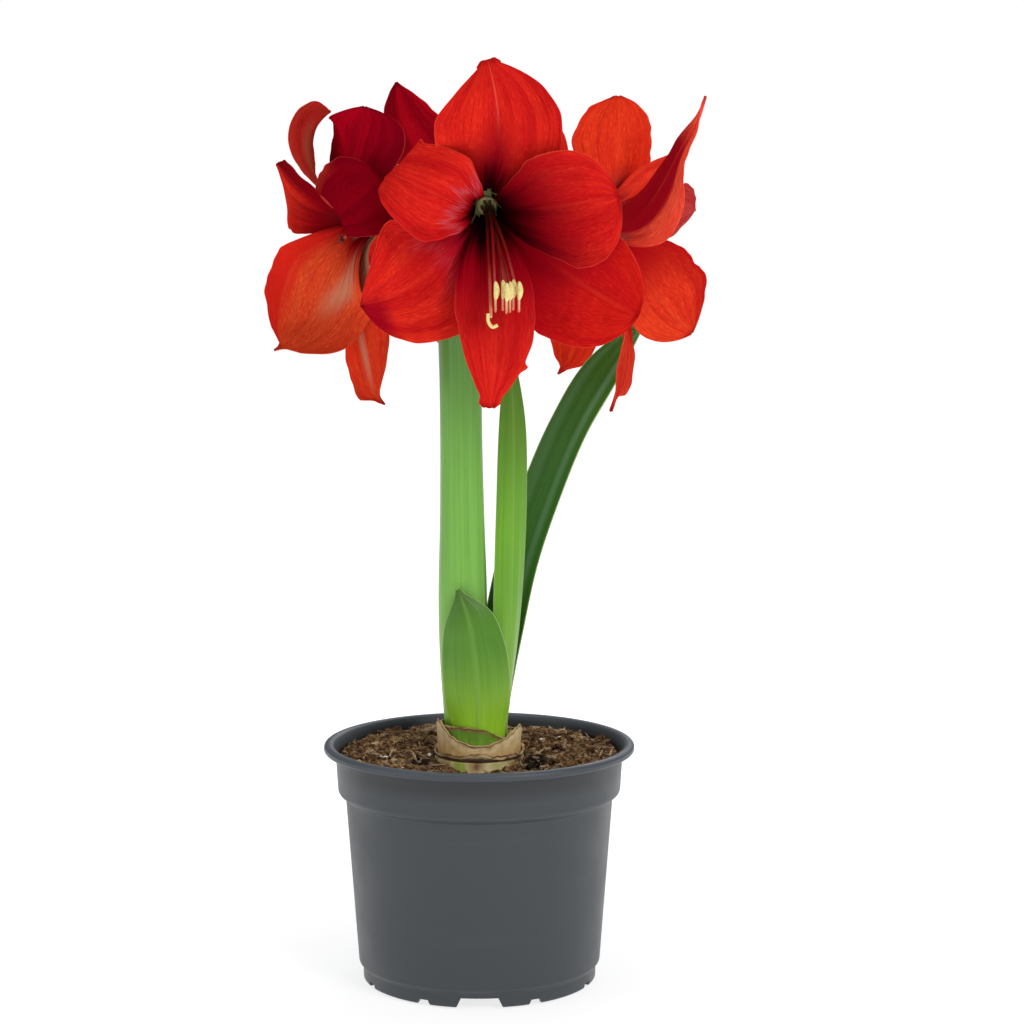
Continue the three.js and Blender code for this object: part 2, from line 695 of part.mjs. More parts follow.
function tepalSurface(frame, tepal, rootRadius) {
  const stations = tepalSpine(frame, tepal, rootRadius)
  return (u, v) => {
    const place = Math.min(u * SPINE_STEPS, SPINE_STEPS - 1e-6)
    const index = Math.floor(place)
    const local = place - index
    const [low, high] = [stations[index], stations[index + 1]]
    const centre = low.centre.clone().lerp(high.centre, local)
    const across = low.across.clone().lerp(high.across, local).normalize()
    const face = low.face.clone().lerp(high.face, local).normalize()
    const radius = mix(low.radius, high.radius, local)
    const bend = mix(low.bend, high.bend, local)
    const width = Math.min(tepal.half * bladeShare(u, tepal), FUNNEL_SHARE * Math.max(radius, 3))
    const funnel = (width * Math.max(Math.cos(bend), 0)) / Math.max(radius, 1)
    const own = radians(along([tepal.cup[0], tepal.cup[0], tepal.cup[1]], u))
    const turn = funnel + own * smooth((u - 0.25) / 0.5)
    const roll = radians(along([0, ...tepal.twist], u))
    const side = across.clone().multiplyScalar(Math.cos(roll)).addScaledVector(face, Math.sin(roll))
    const normal = face.clone().multiplyScalar(Math.cos(roll)).addScaledVector(across, -Math.sin(roll))
    const bent = Math.abs(turn) < 1e-3 ? 1e-3 : turn
    const arc = width / bent
    const share = flared(v, u, tepal.flares)
    centre.addScaledVector(side, arc * Math.sin(bent * share))
    return centre.addScaledVector(normal, arc * (1 - Math.cos(bent * share)))
  }
}

// Flower stalk, ovary and tube, grown as one piece from the top of the scape.
function bloomStalk(bloom, frame) {
  const ovaryBack = frame.mouth.clone().addScaledVector(frame.axis, -(TUBE_LENGTH + OVARY_LENGTH))
  const foot = new THREE.Vector3(bloom.stalkFoot[0], bloom.stalkFoot[1], SCAPE_TOP)
  const curve = new THREE.CatmullRomCurve3([
    foot,
    foot.clone().add(new THREE.Vector3(0, 0, 4)),
    foot.clone().lerp(ovaryBack, 0.4).add(new THREE.Vector3(0, 0, 7)),
    ovaryBack.clone().addScaledVector(frame.axis, -6).add(new THREE.Vector3(0, 0, -1)),
    ovaryBack.clone().addScaledVector(frame.axis, 3),
    frame.mouth.clone().addScaledVector(frame.axis, -TUBE_LENGTH),
    frame.mouth.clone(),
  ])
  const total = curve.getLength()
  const radiusAt = (t) => {
    const left = total * (1 - t)
    const ovary = OVARY_RADIUS * bell(left, TUBE_LENGTH + 0.55 * OVARY_LENGTH, 8)
    const tube = mix(TUBE_MOUTH_RADIUS, STALK_RADIUS, smooth(left / (TUBE_LENGTH + 3)))
    return Math.max(ovary, tube, STALK_RADIUS)
  }
  return taperedBar(curve, radiusAt, 13, 9)
}

// Six filaments that lean down to the lower petal and turn up at their ends, each with an upright anther,
// and a longer style that ends in three stigma lobes. All stand on a small disc in the throat. reach is
// 1 for a ripe bloom and less for one whose stamens are still short.
const FILAMENTS = [ // [sideways place of the anther, length] in the ripe bloom
  [-4.9, 62],
  [-1.7, 60],
  [-0.1, 64.5],
  [1.4, 62.5],
  [2.9, 59],
  [5.4, 62],
]
const FILAMENT_CIRCLE = 2.6
const DISC = { radius: 4.2, height: 1.8 }

function stamens(frame, { lean, reach }) {
  // forward along the bloom's axis, then up and sideways from it
  const at = (forward, up, side) =>
    frame.mouth
      .clone()
      .addScaledVector(frame.axis, forward)
      .addScaledVector(frame.up, up)
      .addScaledVector(frame.side, side)
  const disc = new THREE.CylinderGeometry(DISC.radius, DISC.radius, DISC.height, 8)
  disc.applyQuaternion(new THREE.Quaternion().setFromUnitVectors(new THREE.Vector3(0, 1, 0), frame.axis))
  disc.translate(...at(GAP + DISC.height / 2, 0, 0).toArray())
  let solid = solidOf(disc)
  const spread = mix(0.5, 1, reach)
  const antherLength = mix(4.5, 8, reach)
  const rows = Math.round(mix(2, 7, reach))
  const bars = []
  FILAMENTS.forEach(([place, ripeLength], k) => {
    const turn = (2 * Math.PI * (k + 0.5)) / FILAMENTS.length
    const [up, side] = [FILAMENT_CIRCLE * Math.cos(turn), FILAMENT_CIRCLE * Math.sin(turn)]
    const ripe = reach === 1
    const end = (lean + (ripe ? place : 2.4 * k - 6)) * spread
    const length = reach * (ripe ? ripeLength : 62 + 2.5 * Math.sin(2.4 * k))
    const drop = -28 * reach
    const filament = new THREE.CatmullRomCurve3([
      at(1, up, side),
      at(0.32 * length, up + 0.13 * drop, mix(side, end, 0.3)),
      at(0.68 * length, up * 0.6 + 0.5 * drop, mix(side, end, 0.7)),
      at(0.93 * length, ripe ? drop - 2 : 0.93 * drop, end),
      at(length, ripe ? drop - 4 : drop, end),
      at(length + 2, drop + 3.5, end),
    ])
    bars.push(taperedBar(filament, (t) => mix(0.9, 0.7, t), rows, 3))
    const anther = new THREE.LineCurve3(
      at(length + 2.3, drop + 2, end),
      at(length + 1.6, drop + 2 + antherLength, end),
    )
    bars.push(taperedBar(anther, (t) => 0.6 + 0.75 * Math.sin(Math.PI * t), 3, 4))
  })
  const tip = [64 * reach + 5, -36 * reach, (lean - 7) * spread]
  const style = new THREE.CatmullRomCurve3([
    at(1, 0, 0),
    at(0.33 * tip[0], 0.17 * tip[1], 0.25 * tip[2]),
    at(0.67 * tip[0], 0.56 * tip[1], 0.7 * tip[2]),
    at(0.9 * tip[0], 0.92 * tip[1], tip[2]),
    at(...tip),
  ])
  bars.push(taperedBar(style, (t) => mix(1.1, 0.8, t), rows, 3))
  for (const lobeTurn of [90, 210, 330]) {
    const [up, side] = [2.6 * Math.sin(radians(lobeTurn)), 2.6 * Math.cos(radians(lobeTurn))]
    const [forward, level, across] = tip
    const lobe = new THREE.LineCurve3(
      at(forward - 0.6, level, across),
      at(forward + 1.6, level + up, across + side),
    )
    bars.push(taperedBar(lobe, () => 0.6, 1, 3))
  }
  for (const bar of bars) solid = solid.add(solidOf(bar))
  return geometryOfSolid(solid)
}

// A withered bract folds out from the top of the flower stalk and hangs down beside it.
function bract(towards) {
  const [dx, dy] = [Math.cos(radians(towards)), Math.sin(radians(towards))]
  const path = [ // [distance from the stalk's axis, height]
    [12.4, 336],
    [15.5, 336.5],
    [18, 331],
    [18.6, 322],
    [17.6, 313],
  ]
  const curve = new THREE.CatmullRomCurve3(path.map(([r, z]) => new THREE.Vector3(-8.6 + r * dx, r * dy, z)))
  const surface = (u, v) => {
    const width = along([5.5, 6.5, 5, 2.6, 0.7], u)
    const centre = curve.getPoint(u)
    const crease = 1.2 * Math.abs(v) * Math.sin(Math.PI * u)
    return centre.add(new THREE.Vector3(-dy * width * v + dx * crease, dx * width * v + dy * crease, 0))
  }
  return sheetSolid(surface, () => 0.7, 6, 4)
}

// ---------------------------------------------------------------- assembly

addPiece('pot', pot(), FINISHES.pot)
addPiece('soil', soil(), FINISHES.soil)
addPiece('bulb', bulb(), FINISHES.bulb)
addPiece('leaf_base_sheath', skinRing(SHEATH, sheathTop, () => 0), FINISHES.sheath)
addPiece('inner_tunic', skinRing(INNER_TUNIC, innerTunicTop, innerTunicLean), FINISHES.tunic)
addPiece('outer_tunic', skinRing(OUTER_TUNIC, outerTunicTop, outerTunicLean), FINISHES.tunic)
addPiece('scape', scape(), FINISHES.scape)
addPiece('front_bract', bract(262), FINISHES.bract)
addPiece('back_bract', bract(82), FINISHES.bract)
for (const [name, shape] of Object.entries(LEAVES)) addPiece(name, leaf(shape), FINISHES.leaf)

for (const [name, bloom] of Object.entries(BLOOMS)) {
  const frame = bloomFrame(bloom)
  addPiece(`${name}_bloom_stalk`, bloomStalk(bloom, frame), FINISHES.tube)
  addPiece(`${name}_stamens`, stamens(frame, bloom.stamens), FINISHES.stamens)
  for (const [whorl, rootRadius] of [['sepal', SEPAL_ROOT_RADIUS], ['petal', PETAL_ROOT_RADIUS]]) {
    for (const [side, tepal] of Object.entries(bloom[`${whorl}s`])) {
      const surface = tepalSurface(frame, tepal, rootRadius)
      const blade = sheetSolid(surface, () => TEPAL_THICKNESS, ...bloom.grid)
      addPiece(`${name}_${whorl}_${side}`, blade, FINISHES[whorl])
    }
  }
}

export default group
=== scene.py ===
import math
import random

import bpy
import numpy as np
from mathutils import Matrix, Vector, noise


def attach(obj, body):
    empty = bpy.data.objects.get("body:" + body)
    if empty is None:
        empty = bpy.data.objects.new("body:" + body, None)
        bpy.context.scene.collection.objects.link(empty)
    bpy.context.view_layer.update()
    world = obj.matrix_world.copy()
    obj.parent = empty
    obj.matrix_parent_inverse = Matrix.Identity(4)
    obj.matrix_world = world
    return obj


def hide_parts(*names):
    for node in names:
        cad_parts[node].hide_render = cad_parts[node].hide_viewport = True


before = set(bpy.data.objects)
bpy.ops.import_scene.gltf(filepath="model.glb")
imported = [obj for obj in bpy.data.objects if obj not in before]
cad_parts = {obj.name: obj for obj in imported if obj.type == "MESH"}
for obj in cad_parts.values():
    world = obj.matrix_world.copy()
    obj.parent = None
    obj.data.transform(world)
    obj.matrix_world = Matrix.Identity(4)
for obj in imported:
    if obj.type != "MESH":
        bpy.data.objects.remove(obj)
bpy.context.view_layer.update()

MM = 0.001

# ---------------------------------------------------------------- camera and studio
# The camera stands level with the blooms and looks slightly down. A pale floor runs on into a white
# room, a broad lamp stands to the right in front, a tall pale screen to the left, and a lamp hangs above.

bpy.ops.object.select_all(action="DESELECT")
bpy.ops.object.camera_add(
    location=(0, -1.2789, 0.3812), rotation=(math.radians(83.15), 0, math.radians(-0.71))
)
camera = bpy.context.object
camera.data.sensor_width = 36
camera.data.lens = 94.57
bpy.context.scene.camera = camera
bpy.context.scene.view_settings.view_transform = "Standard"


def plug(art, made, inputs):
    """Sets a node's inputs: a socket is linked, a number or colour is written in. In a name an underline
    stands for a space."""
    for key, value in inputs.items():
        socket = made.inputs[key.replace("_", " ") if isinstance(key, str) else key]
        if isinstance(value, bpy.types.NodeSocket):
            art.links.new(value, socket)
        else:
            socket.default_value = (*value, 1) if socket.type == "RGBA" else value


def node(art, kind, inputs, **settings):
    """Adds a shader node to a finish and returns its outputs."""
    made = art.nodes.new("ShaderNode" + kind)
    for key, value in settings.items():
        setattr(made, key, value)
    plug(art, made, inputs)
    return made.outputs


def finish(name):
    """A new material and its art, the node tree that its surface is drawn with."""
    material = bpy.data.materials.new(name)
    material.use_nodes = True
    return material, material.node_tree


def surfaced(art, **values):
    plug(art, art.nodes["Principled BSDF"], values)


def object_place(art):
    return node(art, "TexCoord", {})["Object"]


def length_of(art, vector):
    return node(art, "VectorMath", {0: vector}, operation="LENGTH")["Value"]


def ranged(art, value, low, high, start=0, end=1, curve="LINEAR"):
    """Maps a value from low..high to start..end."""
    ends = dict(Value=value, From_Min=low, From_Max=high, To_Min=start, To_Max=end)
    return node(art, "MapRange", ends, interpolation_type=curve)[0]


room = bpy.data.worlds.new("white_room")
bpy.context.scene.world = room
room.use_nodes = True
air = room.node_tree
background = room.node_tree.nodes["Background"]
plug(air, background, dict(Color=(0.93, 0.96, 1.0), Strength=0.26))
seen_wall = node(air, "Background", dict(Color=(1, 1, 1), Strength=1.0))
ray = node(air, "LightPath", {})
choice = node(air, "MixShader", {0: ray["Is Camera Ray"], 1: background.outputs[0], 2: seen_wall[0]})
plug(air, room.node_tree.nodes["World Output"], dict(Surface=choice[0]))

bpy.ops.mesh.primitive_plane_add(size=9, location=(0, 0, -0.0004))
floor = bpy.context.object
floor.name = "studio_floor"
paper, art = finish("studio_paper")
# The floor glows white; near the pot its glow dims as a painted contact shadow.
glow_with_painted_shadow = ranged(art, length_of(art, object_place(art)), 0.1, 0.5, 0.78, 1.0)
lit = node(art, "CombineXYZ", {k: glow_with_painted_shadow for k in range(3)})[0]
surfaced(art, Base_Color=(0.4, 0.4, 0.4), Roughness=0.9, Specular_IOR_Level=0.0, Emission_Color=lit)
surfaced(art, Emission_Strength=1.0)
floor.data.materials.append(paper)


def lamp(name, place, size, watts, colour):
    """A soft rectangular lamp that faces the middle of the blooms."""
    bpy.ops.object.light_add(type="AREA", location=place)
    made = bpy.context.object
    made.name = name
    made.data.shape = "RECTANGLE"
    made.data.size, made.data.size_y = size
    made.data.energy = watts
    made.data.color = colour
    towards = Vector((0, 0, 0.26)) - Vector(place)
    made.rotation_euler = towards.to_track_quat("-Z", "Y").to_euler()


lamp("key_lamp", (1.1, -1.5, 1.35), (0.9, 0.9), 17, (1, 0.99, 0.97))
lamp("left_screen", (-1.5, -0.7, 0.55), (0.5, 1.5), 4, (0.96, 0.98, 1))
lamp("top_lamp", (-0.1, 0.1, 1.7), (1.2, 1.2), 7, (1, 1, 1))
lamp("back_lamp", (0.5, 1.6, 1.0), (1.2, 0.8), 5, (1, 1, 1))

# ---------------------------------------------------------------- pot
# A nursery pot of dark grey polypropylene, injection moulded in one piece with a rolled rim, a collar
# and a foot ring. It is turned up ring by ring; the water notches and drain holes are then cut.


def turned(name, profile, sides):
    """Turns a closed piece from (radius, height) rings: a disc is drawn up ring by ring from its edge."""
    bpy.ops.object.select_all(action="DESELECT")
    radius, height = profile[0]
    bpy.ops.mesh.primitive_circle_add(
        vertices=sides, radius=radius * MM, fill_type="TRIFAN", location=(0, 0, height * MM)
    )
    piece = bpy.context.object
    piece.name = name
    bpy.ops.object.transform_apply(location=True)
    bpy.ops.object.mode_set(mode="EDIT")
    bpy.ops.mesh.select_all(action="SELECT")
    bpy.ops.mesh.region_to_loop()
    for next_radius, next_height in profile[1:]:
        rise = (0, 0, (next_height - height) * MM)
        bpy.ops.mesh.extrude_edges_move(TRANSFORM_OT_translate={"value": rise})
        share = next_radius / radius
        bpy.ops.transform.resize(value=(share, share, 1))
        radius, height = next_radius, next_height
    bpy.ops.mesh.extrude_edges_move()
    bpy.ops.mesh.merge(type="CENTER")
    bpy.ops.mesh.select_all(action="SELECT")
    bpy.ops.mesh.normals_make_consistent(inside=False)
    bpy.ops.object.mode_set(mode="OBJECT")
    return piece


def rounded(points, corner):
    """Rounds each inner corner of a profile with a short arc of four rings."""
    out = [points[0]]
    for (ax, ay), (bx, by), (cx, cy) in zip(points, points[1:], points[2:]):
        before, after = math.hypot(ax - bx, ay - by), math.hypot(cx - bx, cy - by)
        reach = min(corner, 0.4 * before, 0.4 * after)
        start = (bx + (ax - bx) * reach / before, by + (ay - by) * reach / before)
        end = (bx + (cx - bx) * reach / after, by + (cy - by) * reach / after)
        for t in (0, 0.25, 0.5, 0.75, 1):
            ends = zip(start, (bx, by), end)
            out.append(tuple((1 - t) ** 2 * s + 2 * t * (1 - t) * b + t * t * e for s, b, e in ends))
    return out + [points[-1]]


def dressed(piece, slot, nodes, *materials):
    """Gives a piece its materials and hides the CAD nodes that it stands for; slot is not used."""
    if materials:
        piece.data.materials.clear()
    for material in materials:
        piece.data.materials.append(material)
    if nodes:
        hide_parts(*nodes)
    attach(piece, "root")


POT_PROFILE = [
    (54.1, 5.2), (54.1, 0.3), (55.9, 0.3), (56.5, 0.9), (56.6, 7), (58.6, 9), (64.6, 89.8), (67.8, 92.2),
    (68.3, 93.6), (69.4, 111.8), (74.3, 112.1), (75, 112.9), (74.9, 114.8), (73.8, 115.8), (72, 116),
    (70.4, 115.3), (67.8, 110.6), (66.7, 93.6), (63, 88.6), (56.6, 8.2), (55.6, 7.2),
]
POT_FOOT_RADIUS = 56.5
NOTCH_DEPTH = 12
WIDE_NOTCH = (11.6, 8.8, 5)  # half-width at the bottom, half-width at the top, height
SMALL_NOTCH = (4.2, 2.4, 2.7)
NOTCHES = {0: WIDE_NOTCH, 180: WIDE_NOTCH}
NOTCHES.update({turn: SMALL_NOTCH for turn in (28, 66, 114, 152, 208, 246, 294, 332)})
DRAIN_HOLES, DRAIN_RADIUS, DRAIN_CIRCLE = 8, 4.5, 44

pot = turned("moulded_pot", rounded(POT_PROFILE, 0.7), 144)
cutters = []
for middle, (bottom, top_half, height) in NOTCHES.items():
    bpy.ops.mesh.primitive_cube_add(size=1, location=(0, 0, 0))
    cutter = bpy.context.object
    turn = math.radians(middle)
    for vertex in cutter.data.vertices:
        top = vertex.co.z > 0
        x = vertex.co.x * 2 * (top_half if top else bottom)
        y = -POT_FOOT_RADIUS + vertex.co.y * NOTCH_DEPTH
        vertex.co = (
            (x * math.cos(turn) - y * math.sin(turn)) * MM,
            (x * math.sin(turn) + y * math.cos(turn)) * MM,
            (height if top else -1) * MM,
        )
    cutters.append(cutter)
for k in range(DRAIN_HOLES):
    turn = 2 * math.pi * (k + 0.5) / DRAIN_HOLES
    place = (DRAIN_CIRCLE * math.cos(turn) * MM, DRAIN_CIRCLE * math.sin(turn) * MM, 7 * MM)
    bpy.ops.mesh.primitive_cylinder_add(vertices=32, radius=DRAIN_RADIUS * MM, depth=12 * MM, location=place)
    cutters.append(bpy.context.object)
for cutter in cutters:
    bpy.ops.object.select_all(action="DESELECT")
    pot.select_set(True)
    bpy.context.view_layer.objects.active = pot
    cut = pot.modifiers.new("cut", "BOOLEAN")
    cut.operation = "DIFFERENCE"
    cut.solver = "EXACT"
    cut.object = cutter
    bpy.ops.object.modifier_apply(modifier="cut")
    bpy.data.objects.remove(cutter)
bpy.ops.object.shade_smooth_by_angle(angle=math.radians(38))


def noisy(art, vector, scale, detail, **more):
    return node(art, "TexNoise", dict(Vector=vector, Scale=scale, Detail=detail, **more))["Fac"]


def stretched(art, vector, scale, **more):
    return node(art, "Mapping", dict(Vector=vector, Scale=scale, **more))[0]


def axes_of(art, vector):
    return node(art, "SeparateXYZ", {0: vector})


def maths(art, operation, a, b=0.0):
    return node(art, "Math", {0: a, 1: b}, operation=operation)[0]


def mixed(art, share, a, b, blend="MIX"):
    """Mixes colour b into colour a by a share."""
    return node(art, "Mix", {0: share, 6: a, 7: b}, data_type="RGBA", blend_type=blend)[2]


def bumped(art, height, strength, distance):
    return node(art, "Bump", dict(Height=height, Strength=strength, Distance=distance))[0]


pot_plastic, art = finish("grey_polypropylene")
place = object_place(art)
cloud = noisy(art, place, 34, 4)
hoops = noisy(art, stretched(art, place, (9, 9, 150)), 1.0, 2)
tone = mixed(art, cloud, (0.034, 0.041, 0.048), (0.043, 0.05, 0.058))
tone = mixed(art, ranged(art, hoops, 0.56, 0.8, 0, 0.1), tone, (0.09, 0.097, 0.105))
radius = length_of(art, stretched(art, place, (1, 1, 0)))
height = axes_of(art, place)[2]
# Painted shade: the inner wall darkens to near black below the rim, where the inside of the pot lies in
# shade.
inside = ranged(art, radius, 0.0705, 0.0685, 0, 0.8)
inner_wall_shade = maths(art, "MULTIPLY", inside, ranged(art, height, 0.1, 0.106))
tone = mixed(art, inner_wall_shade, tone, (0.006, 0.007, 0.008))
# A painted highlight: a lighter bluish band round the top of the rolled rim.
tone = mixed(art, ranged(art, height, 0.1128, 0.1155, 0, 0.8), tone, (0.085, 0.1, 0.125))
grain = bumped(art, noisy(art, place, 1800, 3), 0.12, 0.0002)
surfaced(art, Base_Color=tone, Roughness=ranged(art, cloud, 0.3, 0.7, 0.36, 0.5), Normal=grain)
dressed(pot, "pot", ["pot"], pot_plastic)

# ---------------------------------------------------------------- peat
# Brown peat fills the pot to just under the rim and holds the bulb. Its top is a heap of crumbs and
# fibres with a few white grains of perlite, and it has sunk to a hollow on each side of the bulb.

BULB_RINGS = [(11, 44), (22, 50), (30.5, 61), (33.5, 74), (32, 86), (27.5, 97), (22.6, 105), (21.4, 109.5)]
HOLLOWS = [(-28, -25, 6.5, 11), (28, -25, 6, 10), (-6, -34, 15, 8), (16, -33, 12, 7)]  # x, y, width, depth


def bulb_girth(height):
    """Radius of the bulb at a height, in mm."""
    return float(np.interp(height, [ring[1] for ring in BULB_RINGS], [ring[0] for ring in BULB_RINGS]))


def peat_top(x, y):
    """Height of the peat at a place, in mm: a heap that is lowest at the pot's wall."""
    here = Vector((x, y, 0))
    height = 109.0 + 1.8 * math.sin(math.pi * min(max((math.hypot(x, y) - 24) / 44, 0), 1))
    height += 1.7 * noise.fractal(here * 0.055 + Vector((7, 3, 1)), 1.0, 2.0, 3)
    height += 1.8 * (0.5 - noise.voronoi(here * 0.17)[0][0])
    height += 0.7 * noise.noise(here * 0.6)
    for hx, hy, width, depth in HOLLOWS:
        height -= depth * math.exp(-((x - hx) ** 2 + (y - hy) ** 2) / width**2)
    return height


noise.seed_set(16)  # noise_vector takes its offsets from this seed
PEAT_EDGE, PEAT_INNER = 67.2, 24.2
FLAT_TOP, NECK_FOOT = 108, 104
SEAT_GAP = 0.5
top_rings = [(PEAT_EDGE - k * (PEAT_EDGE - PEAT_INNER) / 70, FLAT_TOP) for k in range(71)]
cavity = [(radius + SEAT_GAP, height) for radius, height in reversed(BULB_RINGS) if height < NECK_FOOT]
wall = [(54.4, 7.55), (57.4, 30), (62.1, 88.6), (65.9, 94.2), (66.9, 106)]
peat = turned("peat_fill", wall + top_rings + [(24, NECK_FOOT)] + cavity[:-1] + [(11.5, 43.5)], 200)
for vertex in peat.data.vertices:
    x, y, z = vertex.co / MM
    radius = math.hypot(x, y)
    cx, cy = x / max(radius, 1), y / max(radius, 1)
    if abs(z - FLAT_TOP) < 0.01:
        inner = bulb_girth(peat_top(24.5 * cx, 24.5 * cy)) + SEAT_GAP
        radius = inner + (radius - PEAT_INNER) * (PEAT_EDGE - inner) / (PEAT_EDGE - PEAT_INNER)
        side = 1.2 * noise.noise_vector(Vector((x, y, 5)) * 0.5)
        hold = max(min((67.3 - radius) / 3, (radius - inner) / 3, 1), 0)
        x, y = radius * cx, radius * cy
        vertex.co = ((x + side.x * hold) * MM, (y + side.y * hold) * MM, peat_top(x, y) * MM)
    elif abs(z - NECK_FOOT) < 0.01:
        z = peat_top(24.5 * cx, 24.5 * cy) - 2
        radius = bulb_girth(z) + SEAT_GAP
        vertex.co = (radius * cx * MM, radius * cy * MM, z * MM)
bpy.ops.object.select_all(action="DESELECT")
peat.select_set(True)
bpy.ops.object.shade_smooth()


def ramped(art, value, *stops):
    """A colour ramp over a value from (position, colour) stops in order."""
    made = art.nodes.new("ShaderNodeValToRGB")
    plug(art, made, {0: value})
    elements = made.color_ramp.elements
    for position, colour in stops[1:-1]:
        elements.new(position).color = (*colour, 1)
    for element, (position, colour) in ((elements[0], stops[0]), (elements[-1], stops[-1])):
        element.position = position
        element.color = (*colour, 1)
    return made.outputs[0]


def cells(art, vector, scale):
    return node(art, "TexVoronoi", dict(Vector=vector, Scale=scale))["Distance"]


peat_brown, art = finish("moist_peat")
place = object_place(art)
crumb = noisy(art, place, 420, 6, Roughness=0.7)
soil = ramped(
    art, crumb, (0.32, (0.014, 0.008, 0.003)), (0.48, (0.16, 0.077, 0.027)), (0.66, (0.64, 0.4, 0.18))
)
damp = ranged(art, noisy(art, place, 60, 3), 0.42, 0.62, 0, 0.85)
soil = mixed(art, damp, soil, (0.38, 0.31, 0.25), "MULTIPLY")
# Painted shade: the peat darkens to near black in the hollows on each side of the bulb.
axes = axes_of(art, place)
sideways, backwards = maths(art, "ABSOLUTE", axes[0]), maths(art, "MULTIPLY", axes[1], 0.5)
mirrored = node(art, "CombineXYZ", {0: sideways, 1: backwards})
from_hollow_shade = node(art, "VectorMath", {0: mirrored[0], 1: (0.0265, -0.0095, 0)}, operation="DISTANCE")
soil = mixed(art, ranged(art, from_hollow_shade["Value"], 0.0085, 0.004, 0, 0.93), soil, (0.006, 0.004, 0.003))
lumps = bumped(art, maths(art, "ADD", crumb, cells(art, place, 520)), 0.9, 0.0012)
surfaced(art, Base_Color=soil, Roughness=0.92, Specular_IOR_Level=0.25, Normal=lumps)
dressed(peat, "soil", ["soil"], peat_brown)


LOOSE_REACH = 66  # no loose bit lies further out than this, in mm


def scattered(name, material, seed, count, sizes, sink, flat, stretch, places=()):
    """Copies one lump over the peat, each turned, stretched and pushed in by its own draw."""
    draw = random.Random(seed)
    bpy.ops.object.select_all(action="DESELECT")
    bpy.ops.mesh.primitive_ico_sphere_add(subdivisions=1, radius=1, location=(0, 0, 0))
    lump = bpy.context.object
    base = np.array([tuple(v.co) for v in lump.data.vertices])
    faces = [tuple(f.vertices) for f in lump.data.polygons]
    bpy.data.objects.remove(lump)
    points, polygons = [], []
    spots = list(places)
    while len(spots) < count:
        radius = math.sqrt(draw.uniform(26.5**2, 65.5**2))
        turn = draw.uniform(0, 2 * math.pi)
        spots.append((radius * math.cos(turn), radius * math.sin(turn)))
    for x, y in spots:
        size = draw.uniform(*sizes)
        scale = np.array([size * draw.uniform(1, stretch), size, size * draw.uniform(flat, 1)])
        jitter = np.array([[draw.uniform(0.75, 1.2)] for _ in base])
        turn, tilt = draw.uniform(0, 2 * math.pi), draw.uniform(-0.5, 0.5)
        copy = base * jitter * scale
        c, s = math.cos(tilt), math.sin(tilt)
        copy = copy @ np.array([[c, 0, -s], [0, 1, 0], [s, 0, c]])
        c, s = math.cos(turn), math.sin(turn)
        copy = copy @ np.array([[c, s, 0], [-s, c, 0], [0, 0, 1]])
        copy = copy + [x, y, peat_top(x, y) + size * sink]
        copy[:, :2] *= np.minimum(1, LOOSE_REACH / np.hypot(copy[:, 0], copy[:, 1]))[:, None]
        polygons.extend(tuple(len(points) + k for k in face) for face in faces)
        points.extend(copy.tolist())
    mesh = bpy.data.meshes.new(name)
    mesh.from_pydata([[c * MM for c in p] for p in points], [], polygons)
    piece = bpy.data.objects.new(name, mesh)
    bpy.context.scene.collection.objects.link(piece)
    dressed(piece, "soil", [], material)
    return piece


scattered("peat_crumbs", peat_brown, 11, 1700, (0.5, 1.7), 0.3, 0.5, 1.8)
scattered("peat_clods", peat_brown, 12, 420, (1.6, 3.9), 0.1, 0.45, 1.9)

bark_tan, art = finish("pale_fibre")
tan = ramped(art, noisy(art, object_place(art), 90, 3), (0.35, (0.1, 0.05, 0.022)), (0.65, (0.6, 0.42, 0.24)))
surfaced(art, Base_Color=tan, Roughness=0.85)
fibres = scattered("peat_fibres", bark_tan, 13, 1900, (0.2, 0.5), 2.2, 0.6, 14)
for vertex in fibres.data.vertices:
    if math.hypot(vertex.co.x, vertex.co.y) < 64 * MM:
        vertex.co += noise.noise_vector(vertex.co * 160) * 0.0012
CHIPS = [(44, -38), (48, -30), (36, -44), (-40, -44)]
scattered("bark_chips", bark_tan, 15, 110, (0.8, 2.0), 0.6, 0.25, 3.4, CHIPS)

perlite_white, art = finish("perlite")
pores = noisy(art, object_place(art), 700, 3)
chalk = ramped(art, pores, (0.3, (0.6, 0.48, 0.38)), (0.55, (0.95, 0.92, 0.88)))
surfaced(art, Base_Color=chalk, Roughness=0.8, Normal=bumped(art, pores, 0.6, 0.0004))
GRAINS = [(-47, -14), (-45, -17), (-51, -6), (-36, 30), (-33, 31), (-22, 44), (-24, -3), (37, -4), (44, -14)]
scattered("perlite_grains", perlite_white, 14, 34, (0.7, 1.5), 0.7, 0.7, 1.5, GRAINS)

# ---------------------------------------------------------------- bulb
# A big scaly bulb with only its shoulder and neck above the peat. Its skin is pale green and cream
# where the brown tunic has come off.

NECK_RINGS = [(21.4, 109.5), (17.2, 109.7), (16.4, 112)]
bulb_profile = []
for (r0, z0), (r1, z1) in zip(BULB_RINGS[2:], BULB_RINGS[3:]):
    bulb_profile += [(r0 + (r1 - r0) * k / 6, z0 + (z1 - z0) * k / 6) for k in range(6)]
bulb = turned("amaryllis_bulb", BULB_RINGS[:2] + bulb_profile + NECK_RINGS, 96)
for vertex in bulb.data.vertices:
    if 60 * MM < vertex.co.z < 109.2 * MM:
        swell = 1 - 0.022 * abs(noise.noise(Vector((vertex.co.x, vertex.co.y, vertex.co.z * 0.3)) * 90))
        vertex.co.x *= swell
        vertex.co.y *= swell
bpy.ops.object.shade_smooth()

